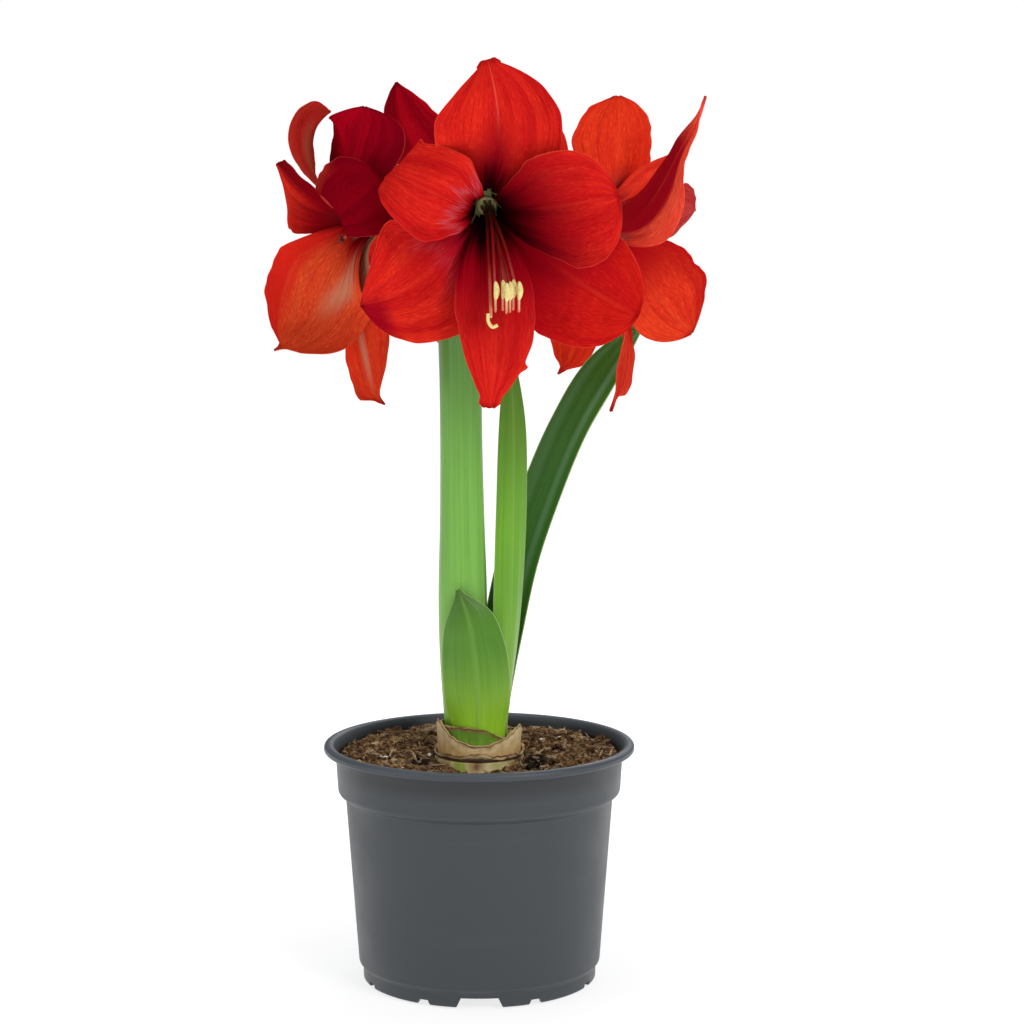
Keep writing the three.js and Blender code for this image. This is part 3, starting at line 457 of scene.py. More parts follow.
bulb_skin, art = finish("bulb_scale")
place = object_place(art)
veins = noisy(art, stretched(art, place, (260, 260, 28)), 1, 4)
scale = ramped(
    art, noisy(art, place, 62, 3),
    (0.38, (0.16, 0.08, 0.035)), (0.44, (0.6, 0.42, 0.18)),
    (0.53, (0.92, 0.8, 0.42)), (0.63, (0.5, 0.66, 0.09)),
)
scale = mixed(art, veins, scale, (0.55, 0.45, 0.33), "MULTIPLY")
surfaced(art, Base_Color=scale, Roughness=0.5, Normal=bumped(art, veins, 0.4, 0.0006))
dressed(bulb, "bulb", ["bulb"], bulb_skin)

# ---------------------------------------------------------------- leaf base and tunics
# Round the neck stands the cut green base of an old leaf with a dry brown edge. Two papery brown skins
# wrap it: they are torn at the top and curl outwards.

SKIN_FOOT = 109.9


def shaped_grid(name, place, rows, columns):
    """A grid whose corners are set by place(u, v), with u from foot to tip and v from edge to edge."""
    bpy.ops.object.select_all(action="DESELECT")
    bpy.ops.mesh.primitive_grid_add(x_subdivisions=columns, y_subdivisions=rows, size=2, location=(0, 0, 0))
    piece = bpy.context.object
    piece.name = name
    flat = np.array([tuple(v.co) for v in piece.data.vertices])
    row = np.rint((flat[:, 1] + 1) / 2 * rows).astype(int)
    column = np.rint((flat[:, 0] + 1) / 2 * columns).astype(int)
    points = place(np.linspace(0, 1, rows + 1), np.linspace(-1, 1, columns + 1))
    piece.data.vertices.foreach_set("co", (points[row, column] * MM).ravel())
    return piece, flat[:, 0]


def laid_out(name, place, rows, columns, wall, rim=0.45, closed=False):
    """A grid becomes a grown sheet. Solidify gives it its wall, thinner at the edges."""
    piece, across = shaped_grid(name, place, rows, columns)
    if closed:
        bpy.ops.object.mode_set(mode="EDIT")
        bpy.ops.mesh.select_all(action="SELECT")
        bpy.ops.mesh.remove_doubles(threshold=0.00001)
        bpy.ops.object.mode_set(mode="OBJECT")
    else:
        body = piece.vertex_groups.new(name="body")
        for index, from_middle in enumerate(np.abs(across)):
            body.add([index], 1 - (1 - rim) * from_middle**4, "REPLACE")
    shell = piece.modifiers.new("wall", "SOLIDIFY")
    shell.thickness = wall * MM
    shell.offset = 0
    shell.material_offset = 1
    if not closed:
        shell.vertex_group = "body"
    bpy.ops.object.modifier_apply(modifier="wall")
    bpy.ops.object.shade_smooth_by_angle(angle=math.radians(55))
    return piece


def skin_ring(radius, top, lean, curl, ripple, seed):
    """Returns the place function of a torn ring of skin round the neck."""

    def place(u, v):
        turn = math.pi * (v[None, :] + 1) + np.zeros_like(u)[:, None]
        rise = u[:, None] + np.zeros_like(v)[None, :]
        height = SKIN_FOOT + (top(turn) - SKIN_FOOT) * rise
        out = radius + lean(turn) * rise**2 + curl(turn) * np.clip((rise - 0.75) / 0.25, 0, 1) ** 2
        for i, j in np.ndindex(out.shape):
            at = Vector((math.cos(turn[i, j]) * 3, math.sin(turn[i, j]) * 3, rise[i, j] * 1.4 + seed))
            out[i, j] += ripple * noise.noise(at * 1.7) * rise[i, j]
            height[i, j] += 1.2 * ripple * noise.noise(at * 2.9 + Vector((5, 0, 0))) * rise[i, j]
        return np.stack([out * np.cos(turn), out * np.sin(turn), height], -1)

    return place


def sheet_place(art):
    return node(art, "TexCoord", {})["UV"]


def skin_paint(name, streaks, seed, *stops):
    """Papery or dry skin with lengthwise fibres: stops are (share of height, colour)."""
    material, art = finish(name)
    sheet = sheet_place(art)
    fibre = noisy(art, stretched(art, sheet, streaks, Location=(seed, 0, 0)), 1, 5)
    stain = ranged(art, noisy(art, object_place(art), 130, 4), 0.3, 0.7, -0.06, 0.06)
    skin = ramped(art, maths(art, "ADD", axes_of(art, sheet)[1], stain), *stops)
    skin = mixed(art, ranged(art, fibre, 0.42, 0.75, 0, 0.6), skin, (0.5, 0.36, 0.24), "MULTIPLY")
    surfaced(art, Base_Color=skin, Roughness=0.62, Normal=bumped(art, fibre, 0.5, 0.0005))
    return material


def sheath_top(turn):
    return 121.3 + 5.4 * np.cos(turn - math.radians(215)) + 1.0 * np.sin(3 * turn)


sheath_ring = skin_ring(18.5, sheath_top, lambda a: 0.0 * a, lambda a: 0.5 + 0.0 * a, 0.5, 3)
sheath = laid_out("old_leaf_base", sheath_ring, 12, 120, 1.1, closed=True)
sheath_green = skin_paint(
    "old_leaf_green", (60, 2, 1), 1,
    (0.0, (0.5, 0.6, 0.16)), (0.5, (0.24, 0.5, 0.03)), (0.88, (0.17, 0.38, 0.02)),
    (0.92, (0.34, 0.24, 0.08)), (0.97, (0.2, 0.1, 0.035)), (1.0, (0.5, 0.34, 0.14)),
)
dressed(sheath, "sheath", ["leaf_base_sheath"], sheath_green, sheath_green)


def inner_top(turn):
    """The inner skin is highest where a strip of it still stands on each side of the neck."""
    strips = [np.maximum(share, 0) ** 8 for share in (-np.cos(turn - 0.3), np.cos(turn + 0.3))]
    return 118.6 + 10 * strips[0] + 7.5 * strips[1] + 0.8 * np.sin(5 * turn)


def outer_top(turn):
    return 112.8 + 0.6 * np.sin(3 * turn + 0.4) + 0.5 * np.sin(7 * turn)


inner_ring = skin_ring(
    19.9, inner_top, lambda a: 0.3 + 0.2 * np.sin(2 * a), lambda a: 0.2 + 0.3 * np.sin(3 * a), 0.7, 11
)
inner_tunic = laid_out("inner_papery_tunic", inner_ring, 18, 160, 0.5, closed=True)
tunic_paper = skin_paint(
    "tunic_paper", (34, 3, 1), 2,
    (0.0, (0.2, 0.1, 0.04)), (0.2, (0.7, 0.45, 0.18)), (0.55, (0.95, 0.7, 0.34)),
    (0.88, (0.98, 0.78, 0.42)), (0.95, (0.36, 0.18, 0.06)), (1.0, (0.8, 0.56, 0.28)),
)
dressed(inner_tunic, "tunic", ["inner_tunic"], tunic_paper, tunic_paper)

outer_ring = skin_ring(
    21.0, outer_top, lambda a: 0.7 + 0.3 * np.sin(4 * a), lambda a: 0.2 + 0.4 * np.sin(5 * a), 0.9, 21
)
outer_tunic = laid_out("outer_papery_tunic", outer_ring, 14, 160, 0.5, closed=True)
tunic_brown = skin_paint(
    "tunic_brown", (30, 3, 1), 5,
    (0.0, (0.05, 0.024, 0.01)), (0.4, (0.1, 0.045, 0.018)), (0.6, (0.8, 0.58, 0.28)),
    (0.9, (0.9, 0.7, 0.4)), (1.0, (0.16, 0.08, 0.03)),
)
dressed(outer_tunic, "tunic", ["outer_tunic"], tunic_brown, tunic_brown)

# ---------------------------------------------------------------- leaves
# Three fleshy strap leaves rise from the neck: a short broad one in front, a narrow upright one and a
# long one that leans right. Each is a shallow channel with fine veins and a waxy shine.


def along(values, t):
    """A smooth curve through values at even stations, read at t from 0 to 1."""
    values = np.asarray(values, float)
    spans = len(values) - 1
    place = np.clip(t, 0, 1) * spans
    index = np.minimum(np.floor(place).astype(int), spans - 1)
    x = place - index
    start, end = values[index], values[index + 1]
    before, after = values[np.maximum(index - 1, 0)], values[np.minimum(index + 2, spans)]
    m0, m1 = (end - before) / 2, (after - start) / 2
    cubic, square = 2 * start - 2 * end + m0 + m1, -3 * start + 3 * end - 2 * m0 - m1
    return (cubic * x + square) * x * x + m0 * x + start


def through(points, t):
    """A smooth line through points in space, read at t from 0 to 1."""
    points = [np.array(p, float) for p in points]
    points = [2 * points[0] - points[1], *points, 2 * points[-1] - points[-2]]
    out = []
    for value in np.clip(np.atleast_1d(t), 0, 1) * (len(points) - 3):
        index = min(int(value), len(points) - 4)
        x = value - index
        p0, p1, p2, p3 = points[index : index + 4]
        d0, d1, d2 = (max(np.linalg.norm(b - a), 1e-4) ** 0.5 for a, b in ((p0, p1), (p1, p2), (p2, p3)))
        m1 = ((p1 - p0) / d0 - (p2 - p0) / (d0 + d1) + (p2 - p1) / d1) * d1
        m2 = ((p2 - p1) / d1 - (p3 - p1) / (d1 + d2) + (p3 - p2) / d2) * d1
        out.append(((2 * p1 - 2 * p2 + m1 + m2) * x - 3 * p1 + 3 * p2 - 2 * m1 - m2) * x * x + m1 * x + p1)
    return np.array(out)


def strap(spine, half, trough, facing, keel):
    """Returns the place function of a strap leaf with its cross-section an open arc."""

    def place(u, v):
        u = u + 0.3 * u * (1 - u)
        centre = through(spine, u)
        tangent = through(spine, np.minimum(u + 1e-3, 1)) - through(spine, np.maximum(u - 1e-3, 0))
        heading = np.radians(along(facing, u))
        face = np.stack([np.cos(heading), np.sin(heading), 0 * heading], -1)
        side = np.cross(tangent, face)
        side /= np.linalg.norm(side, axis=1, keepdims=True)
        face = np.cross(side, tangent)
        face /= np.linalg.norm(face, axis=1, keepdims=True)
        width, turn = along(half, u), np.radians(along(trough, u))
        arc = width / turn
        across = arc[:, None] * np.sin(turn[:, None] * v)
        rise = arc[:, None] * (1 - np.cos(turn[:, None] * v))
        rise -= keel * np.exp(-((v[None, :] / 0.14) ** 2)) * (1 - u[:, None]) ** 0.4
        rise += 0.22 * np.sin(9 * v[None, :] + 3 * u[:, None])
        return centre[:, None] + side[:, None] * across[..., None] + face[:, None] * rise[..., None]

    return place


def eased(art, value, low, high, end=1.0):
    return ranged(art, value, low, high, 0, end, "SMOOTHSTEP")


def shared_effect(name, colours, numbers):
    """A shader node group that puts out a colour, a roughness and a height, and what is given to it."""
    group = bpy.data.node_groups.new(name, "ShaderNodeTree")
    for kind, sockets in (("Vector", ("Sheet", "Place")), ("Color", colours), ("Float", numbers)):
        for socket in sockets:
            group.interface.new_socket(socket, in_out="INPUT", socket_type="NodeSocket" + kind)
    for socket, kind in (("Color", "Color"), ("Roughness", "Float"), ("Height", "Float")):
        group.interface.new_socket(socket, in_out="OUTPUT", socket_type="NodeSocket" + kind)
    return group, group.nodes.new("NodeGroupInput").outputs


def drawn_with(effect, name, strength, distance, values, **coat):
    """A material drawn by a shared effect with its own values."""
    material, art = finish(name)
    inputs = dict(Sheet=sheet_place(art), Place=object_place(art), **values)
    drawn = node(art, "Group", inputs, node_tree=effect)
    relief = bumped(art, drawn["Height"], strength, distance)
    surfaced(art, Base_Color=drawn["Color"], Roughness=drawn["Roughness"], Normal=relief, **coat)
    return material


# The leaf effect: fine veins, a pale stripe (on the right leaf a painted highlight band), light margins
# and a change of green from foot to tip.
leaf_effect, given = shared_effect(
    "leaf_markings", ("Foot", "Blade", "Tip", "Stripe"),
    ("Foot End", "Tip Start", "Stripe At", "Stripe Width", "Stripe Strength", "Veins"),
)
art = leaf_effect
across, upwards = axes_of(art, given["Sheet"])[:2]
side = maths(art, "ABSOLUTE", maths(art, "SUBTRACT", across, 0.5))
vein = noisy(art, stretched(art, given["Sheet"], (70, 3, 1)), 1, 4)
band = noisy(art, stretched(art, given["Sheet"], (16, 1.3, 1)), 1, 2)
cloud = noisy(art, given["Place"], 40, 3)
green = mixed(art, eased(art, upwards, 0.0, given["Foot End"]), given["Foot"], given["Blade"])
green = mixed(art, eased(art, upwards, given["Tip Start"], 1.0), green, given["Tip"])
vein_share = maths(art, "MULTIPLY", eased(art, vein, 0.42, 0.68), given["Veins"])
green = mixed(art, vein_share, green, (0.42, 0.55, 0.3), "MULTIPLY")
green = mixed(art, eased(art, band, 0.45, 0.75, 0.35), green, (0.62, 0.78, 0.5), "MULTIPLY")
green = mixed(art, eased(art, cloud, 0.4, 0.75, 0.3), green, (1.25, 1.2, 1.1), "MULTIPLY")
from_stripe = maths(art, "ABSOLUTE", maths(art, "SUBTRACT", across, given["Stripe At"]))
stripe = maths(art, "MULTIPLY", eased(art, from_stripe, given["Stripe Width"], 0.0), given["Stripe Strength"])
green = mixed(art, stripe, green, given["Stripe"])
green = mixed(art, eased(art, side, 0.475, 0.5, 0.7), green, (0.5, 0.62, 0.28))
gloss = ranged(art, vein, 0.3, 0.7, 0.3, 0.44)
plug(art, leaf_effect.nodes.new("NodeGroupOutput"), dict(Color=green, Roughness=gloss, Height=vein))


def leaf_paint(name, **values):
    """A leaf material with its own greens."""
    return drawn_with(
        leaf_effect, name, 0.35, 0.0004, {"Stripe_At": 0.5, **values}, Specular_IOR_Level=0.35,
        Coat_Weight=0.06, Coat_Roughness=0.25, Subsurface_Weight=0.12, Subsurface_Radius=(0.25, 0.6, 0.1),
        Subsurface_Scale=0.003,
    )


LEAVES = {
    "leaf_front": dict(
        spine=[(0, -15.4, 112.5), (-0.2, -15.6, 126), (-0.8, -16.2, 140), (-2.2, -16.2, 160),
               (-4.6, -15.4, 176), (-10, -13.4, 192)],
        half=[15, 15.4, 17, 17.4, 16, 11.8, 0.9],
        trough=[62, 62, 48, 40, 38, 30, 12],
        facing=[90, 90],
        keel=0.5,
    ),
    "leaf_middle": dict(
        spine=[(11, -2.4, 113), (12.2, -3, 130), (14.2, -3.8, 160), (15.4, -3, 195), (16.2, -1, 230),
               (16.4, 1.5, 270), (13.8, 5, 318)],
        half=[8.4, 9, 9.2, 8.8, 8.2, 6.8, 0.9],
        trough=[44, 42, 38, 36, 34, 30, 14],
        facing=[168, 155, 138, 122, 110, 104, 98],
        keel=0.3,
    ),
    "leaf_right": dict(
        spine=[(11.4, 10.4, 113.4), (10, 12.6, 128), (9.8, 14.8, 148), (12.8, 16.8, 172), (19.2, 18, 202.5),
               (29.4, 20, 232.5), (43.8, 22, 266.5), (60.5, 25, 294), (83, 29, 321)],
        half=[8, 9.2, 10.2, 10.6, 10.6, 10.4, 10, 9.2, 0.9],
        trough=[42, 42, 40, 38, 36, 34, 32, 28, 12],
        facing=[218, 228, 248, 262, 266, 264, 260, 254, 248],
        keel=0.3,
    ),
}
LEAF_GREENS = {
    "leaf_front": leaf_paint(
        "young_leaf_green", Foot=(0.44, 0.8, 0.03), Blade=(0.1, 0.285, 0.018), Tip=(0.07, 0.18, 0.016),
        Stripe=(0.28, 0.5, 0.1), Foot_End=0.6, Tip_Start=0.6, Stripe_Width=0.07, Stripe_Strength=0.25,
        Veins=0.25,
    ),
    "leaf_middle": leaf_paint(
        "bright_leaf_green", Foot=(0.34, 0.66, 0.035), Blade=(0.17, 0.42, 0.026), Tip=(0.09, 0.21, 0.014),
        Stripe=(0.28, 0.5, 0.1), Foot_End=0.45, Tip_Start=0.5, Stripe_Width=0.06, Stripe_Strength=0.3,
        Veins=0.35,
    ),
    # The right leaf's pale stripe in its right third is a painted highlight along its channel.
    "leaf_right": leaf_paint(
        "deep_leaf_green", Foot=(0.26, 0.5, 0.03), Blade=(0.037, 0.14, 0.01), Tip=(0.045, 0.15, 0.014),
        Stripe=(0.16, 0.32, 0.16), Foot_End=0.3, Tip_Start=0.45, Stripe_At=0.76, Stripe_Width=0.13,
        Stripe_Strength=0.6, Veins=0.35,
    ),
}
for name, shape in LEAVES.items():
    blade = laid_out("strap_" + name, strap(**shape), 110, 28, 1.3, rim=0.45)
    dressed(blade, "leaf", [name], LEAF_GREENS[name], LEAF_GREENS[name])

# ---------------------------------------------------------------- scape
# The hollow flower stalk is as thick as a thumb, smooth and bluish green with a waxy bloom, and a
# little paler at its foot.


def grown_tube(name, line, radius, rows, sides):
    """A grid is rolled into a tube along a line through points, joined at its seam and closed."""

    def place(u, v):
        t = np.linspace(0, 1, 400)
        run = np.linalg.norm(np.diff(through(line, t), axis=0), axis=1)
        run = np.concatenate([[0], np.cumsum(run)])
        centre = through(line, np.interp(u * run[-1], run, t))
        tangent = np.gradient(centre, axis=0)
        tangent /= np.linalg.norm(tangent, axis=1, keepdims=True)
        across = np.cross(tangent[0], (0.31, 0.95, 0.05))
        angle = math.pi * (v + 1)
        rims = []
        for k, way in enumerate(tangent):
            across = across - way * (across @ way)
            across = across / np.linalg.norm(across)
            other = np.cross(way, across)
            rim = np.cos(angle)[:, None] * across + np.sin(angle)[:, None] * other
            rims.append(centre[k] + radius(u[k], run[-1]) * rim)
        return np.array(rims)

    piece, _ = shaped_grid(name, place, rows, sides)
    bpy.ops.object.mode_set(mode="EDIT")
    bpy.ops.mesh.select_all(action="SELECT")
    bpy.ops.mesh.remove_doubles(threshold=0.00001)
    bpy.ops.mesh.select_all(action="DESELECT")
    bpy.ops.mesh.select_non_manifold()
    bpy.ops.mesh.edge_face_add()
    bpy.ops.mesh.select_all(action="SELECT")
    bpy.ops.mesh.normals_make_consistent(inside=False)
    bpy.ops.object.mode_set(mode="OBJECT")
    bpy.ops.object.shade_smooth_by_angle(angle=math.radians(55))
    return piece


SCAPE_LINE = [(-6, 3.2, 112.35), (-6.2, 3.2, 124), (-7.6, 2.8, 165), (-8, 2, 220), (-8.6, 1, 290),
              (-8.6, 0, 326), (-8.6, 0, 337.6)]
SCAPE_GIRTH = [10.3, 11.4, 11.7, 10.7, 10.1, 10.3, 11.8]
scape = grown_tube("flower_scape", SCAPE_LINE, lambda u, length: float(along(SCAPE_GIRTH, u)), 60, 48)
scape_green = leaf_paint(
    "waxy_scape_green", Foot=(0.38, 0.7, 0.06), Blade=(0.21, 0.5, 0.075), Tip=(0.09, 0.26, 0.045),
    Stripe=(0.2, 0.4, 0.12), Foot_End=0.4, Tip_Start=0.5, Stripe_Width=0.01, Stripe_Strength=0.0, Veins=0.3,
)
dressed(scape, "scape", ["scape"], scape_green)

# ---------------------------------------------------------------- bracts
# Two spathe bracts once wrapped the buds. They have withered to papery tongues that hang from the top
# of the stalk, in front and behind.

SCAPE_MIDDLE = -8.6
BRACT_PATH = [(12.4, 336), (15.5, 336.5), (18, 331), (18.6, 322), (17.6, 313)]  # distance out, height


def tongue(towards):
    """Returns the place function of one hanging bract."""
    dx, dy = math.cos(math.radians(towards)), math.sin(math.radians(towards))
    line = [(SCAPE_MIDDLE + r * dx, r * dy, z) for r, z in BRACT_PATH]

    def place(u, v):
        width = along([5.5, 6.5, 5, 2.6, 0.7], u)[:, None]
        crease = 1.2 * np.abs(v)[None, :] * np.sin(math.pi * u)[:, None]
        crease = crease + 0.35 * np.sin(8 * v[None, :] + 7 * u[:, None])
        wave = 0.5 * np.sin(6 * v[None, :] + 2 * u[:, None])
        offset = np.stack([-dy * width * v + dx * crease, dx * width * v + dy * crease, wave], -1)
        return through(line, u)[:, None] + offset

    return place


bract_paper = skin_paint(
    "withered_bract", (24, 2, 1), 8,
    (0.0, (0.42, 0.36, 0.14)), (0.4, (0.55, 0.4, 0.2)), (0.8, (0.6, 0.46, 0.28)), (1.0, (0.32, 0.18, 0.09)),
)
for name, towards in (("front_bract", 262), ("back_bract", 82)):
    bract = laid_out("withered_" + name, tongue(towards), 30, 14, 0.5, rim=0.5)
    dressed(bract, "bract", [name], bract_paper, bract_paper)

# ---------------------------------------------------------------- bloom stalks
# Each bloom hangs out from the top of the scape on its own short stalk, which swells to a green ovary
# and then widens into the tube that carries the tepals.

SCAPE_TOP = 338
TUBE_LENGTH, OVARY_LENGTH = 9, 15
TUBE_MOUTH_RADIUS, OVARY_RADIUS, STALK_RADIUS = 8.3, 6.6, 3.3

BLOOMS = {
    "front": dict(mouth=(3.8, -45, 374), heading=-90, droop=14, stalk_foot=(-8.6, -5.4), lean=8.5, reach=1.0),
    "left": dict(mouth=(-48, -10, 368), heading=216, droop=12, stalk_foot=(-14, 0), lean=0, reach=0.2),
    "right": dict(mouth=(49, -8, 367), heading=-30, droop=10, stalk_foot=(-3.2, 0), lean=0, reach=0.2),
    "back": dict(mouth=(4, 42, 369), heading=84, droop=12, stalk_foot=(-8.6, 5.4), lean=0, reach=0.4),
}


def bloom_axes(bloom):
    """The bloom's mouth, the way it faces, its upward way and its level way."""
    heading, droop = math.radians(bloom["heading"]), math.radians(bloom["droop"])
    level_share = math.cos(droop)
    axis = np.array([math.cos(heading) * level_share, math.sin(heading) * level_share, -math.sin(droop)])
    level = np.cross([0, 0, 1], axis)
    level /= np.linalg.norm(level)
    return np.array(bloom["mouth"], float), axis, np.cross(axis, level), level


def smooth(t):
    """Eases a share from 0 to 1."""
    t = np.clip(t, 0, 1)
    return t * t * (3 - 2 * t)


def stalk_girth(t, length):
    """Half-thickness of a stalk at a share of its length: stalk, ovary, then tube."""
    left = length * (1 - t)
    ovary = OVARY_RADIUS * math.exp(-(((left - TUBE_LENGTH - 0.55 * OVARY_LENGTH) / 8) ** 2))
    tube = TUBE_MOUTH_RADIUS + (STALK_RADIUS - TUBE_MOUTH_RADIUS) * float(smooth(left / (TUBE_LENGTH + 3)))
    return max(ovary, tube, STALK_RADIUS)


stalk_green = leaf_paint(
    "bloom_stalk_green", Foot=(0.2, 0.4, 0.08), Blade=(0.22, 0.42, 0.08), Tip=(0.36, 0.42, 0.1),
    Stripe=(0.2, 0.4, 0.12), Foot_End=0.4, Tip_Start=0.7, Stripe_Width=0.01, Stripe_Strength=0.0, Veins=0.5,
)
for name, bloom in BLOOMS.items():
    mouth, axis, up, level = bloom_axes(bloom)
    ovary_back = mouth - axis * (TUBE_LENGTH + OVARY_LENGTH)
    foot = np.array([*bloom["stalk_foot"], SCAPE_TOP])
    line = [
        foot,
        foot + (0, 0, 4),
        foot + (ovary_back - foot) * 0.4 + (0, 0, 7),
        ovary_back - axis * 6 - (0, 0, 1),
        ovary_back + axis * 3,
        mouth - axis * TUBE_LENGTH,
        mouth,
    ]
    stalk = grown_tube(name + "_stalk_and_ovary", line, stalk_girth, 44, 30)
    dressed(stalk, "tube", [name + "_bloom_stalk"], stalk_green)

# ---------------------------------------------------------------- tepals
# Each bloom has three outer sepals and three inner petals, all alike: thin red blades that leave the
# throat narrow, widen and roll back. They carry a groove along the middle, fine veins and a loose edge.

ROOT_RADIUS = {"sepal": 7.1, "petal": 5.4}

# place is the turn round the axis from the top. bend, sway, twist and cup are degrees at even stations:
# away from the axis, sideways, rolled about the spine, and how far the edges turn in. A flare widens one
# side: (side, at, spread, gain). A tip is drawn out to a hook: (from where, sideways, inwards, narrower,
# longer). end is the least half-width of the tip, and spur a tooth on an edge: (at, side, size, spread).
TEPALS = {
    "front": {
        "sepal_top": dict(place=6, length=95, half=28, peak=0.67, blunt=0.4, bend=[15, 34, 52, 83, 115],
                          sway=[0, -22], twist=[7, -2], cup=[-11, -19], end=5.5),
        "sepal_right": dict(place=126, length=88, half=29, peak=0.57, blunt=1.0, bend=[16, 50, 64, 69, 74],
                            sway=[-5, -12], twist=[0, 2], cup=[-3, 9]),
        "sepal_left": dict(place=235, length=81, half=31, peak=0.55, blunt=0.6, bend=[7, 36, 60, 79, 92],
                           sway=[-5, 24], twist=[-3, 2], cup=[-4, 22]),
        "petal_right": dict(place=75, length=83, half=30, peak=0.67, blunt=1.0, bend=[5, 27, 51, 67, 68],
                            sway=[-3, 0], twist=[-13, -8], cup=[5, 1]),
        "petal_bottom": dict(place=178, length=102, half=18, peak=0.54, blunt=0.5, bend=[12, 31, 53, 73, 93],
                             sway=[-3, 12], twist=[4, 11], cup=[6, 0], end=5, spur=(0.81, -1, 2.6, 0.014)),
        "petal_left": dict(place=297, length=89, half=22, peak=0.5, blunt=0.5, bend=[8, 15, 53, 121, 201],
                           sway=[7, -26], twist=[-3, -17], cup=[14, -10], spur=(0.79, 1, 3.6, 0.028)),
    },
    "left": {
        "sepal_top": dict(place=22, length=65, half=35, peak=0.65, blunt=0.9, bend=[14, 56, 80, 103, 125],
                          sway=[16, -19], twist=[23, -7], cup=[5, -24]),
        "sepal_near": dict(place=179, length=87.4, half=16.4, peak=0.74, blunt=0.94,
                           bend=[22, 70, 97, 86, 80], sway=[10, -28], twist=[9, -2], cup=[-33, 22],
                           flares=[(-1, 0.3, 0.15, 0.7)],
                           tip=(0.93, -4.5, 0, 0.75, 3)),
        "sepal_far": dict(place=282, length=71, half=13, peak=0.61, blunt=0.3, bend=[20, 54, 90, 110, 112],
                          sway=[17, 12], twist=[-7, 8], cup=[5, -33], flares=[(-1, 0.6, 0.25, 0.4)]),
        "petal_near": dict(place=64.7, length=81.8, half=21.5, peak=0.77, blunt=1.0,
                           bend=[12, 29, 57, 100, 138], sway=[8, -12], twist=[-2, -15], cup=[-1, -9],
                           flares=[(1, 0.52, 0.24, -0.55)]),
        "petal_bottom": dict(place=216, length=78.1, half=30, peak=0.61, blunt=0.86,
                             bend=[20, 51, 81, 66, 28], sway=[-1, -5], twist=[14, -7], cup=[-12, 24],
                             flares=[(-1, 0.3, 0.15, 0.5)],
                             tip=(0.95, 3, 0, 0.8, 3)),
        "petal_far": dict(place=325, length=75, half=15, peak=0.72, blunt=0.1, bend=[11, 48, 86, 137, 172],
                          sway=[23, -12], twist=[47, 15], cup=[17, 8]),
    },
    "right": {
        "sepal_top": dict(place=353, length=60, half=29, peak=0.63, blunt=0.9, bend=[13, 64, 97, 100, 102],
                          sway=[7, 4], twist=[10, 11], cup=[-22, -2], end=5, spur=(0.93, -1, 2.5, 0.03)),
        "sepal_far": dict(place=80, length=72, half=14, peak=0.71, blunt=0.2, bend=[22, 50, 74, 90, 98],
                          sway=[0, 13], twist=[-9, -10], cup=[-2, -1]),
        "sepal_near": dict(place=209, length=97, half=17, peak=0.63, blunt=0.5, bend=[15, 46, 64, 73, 87],
                           sway=[-14, 19], twist=[9, 6], cup=[1, 5], tip=(0.86, -3.5, 0, 0.75, 2)),
        "petal_far": dict(place=25, length=61, half=10, peak=0.61, blunt=0.8, bend=[15, 46, 54, 56, 65],
                          sway=[-1, -3], twist=[13, -36], cup=[0, 23]),
        "petal_bottom": dict(place=165, length=72.4, half=31, peak=0.45, blunt=0.8, bend=[7, 30, 42, 46, 33],
                             sway=[-2, -4], twist=[-20, -31], cup=[4, -1],
                             flares=[(-1, 0.45, 0.15, 0.2), (-1, 0.67, 0.07, -0.14)]),
        "petal_near": dict(place=266, length=118, half=17, peak=0.42, blunt=0.0, bend=[14, 24, 37, 37, 14],
                           sway=[45, 62], twist=[-13, 4], cup=[26, 0], tip=(0.88, 3, 0, 0.4, 2),
                           flares=[(1, 0.4, 0.2, -0.4), (-1, 0.77, 0.1, -0.4)]),
    },
    "back": {
        "sepal_top": dict(place=35, length=98, half=16, peak=0.65, blunt=0.5, bend=[17, 52, 75, 97, 118],
                          sway=[8, -22], twist=[0, -6], cup=[1, 3]),
        "sepal_right": dict(place=156, length=78, half=26, peak=0.62, blunt=0.5, bend=[15, 35, 58, 84, 109],
                            sway=[4, 3], twist=[0, 0], cup=[0, 0]),
        "sepal_left": dict(place=288, length=87, half=24, peak=0.61, blunt=0.5, bend=[15, 37, 57, 76, 93],
                           sway=[0, -2], twist=[0, -1], cup=[0, -1]),
        "petal_right": dict(place=100, length=85, half=25, peak=0.62, blunt=0.8, bend=[12, 33, 55, 76, 98],
                            sway=[0, 0], twist=[1, 0], cup=[0, 0]),
        "petal_bottom": dict(place=229, length=108, half=15, peak=0.58, blunt=1.0, bend=[13, 36, 60, 84, 104],
                             sway=[-4, -76], twist=[0, -5], cup=[0, 0], tip=(0.94, -2, 0, 0.7, 2)),
        "petal_left": dict(place=337, length=93, half=23, peak=0.61, blunt=0.8, bend=[11, 30, 48, 65, 81],
                           sway=[3, -1], twist=[0, -2], cup=[0, -1]),
    },
}


def blade_share(u, peak, blunt):
    """Half-width along the length as a share of the widest."""
    rise = 0.18 + 0.82 * np.sin(0.5 * math.pi * np.clip(u / peak, 0, 1)) ** 1.3
    past = np.clip((u - peak) / (1 - peak), 0, 1)
    fall = (1 - past ** (1.5 + blunt)) ** (1.15 - 0.6 * blunt)
    return np.maximum(np.where(u < peak, rise, fall), 0.03)


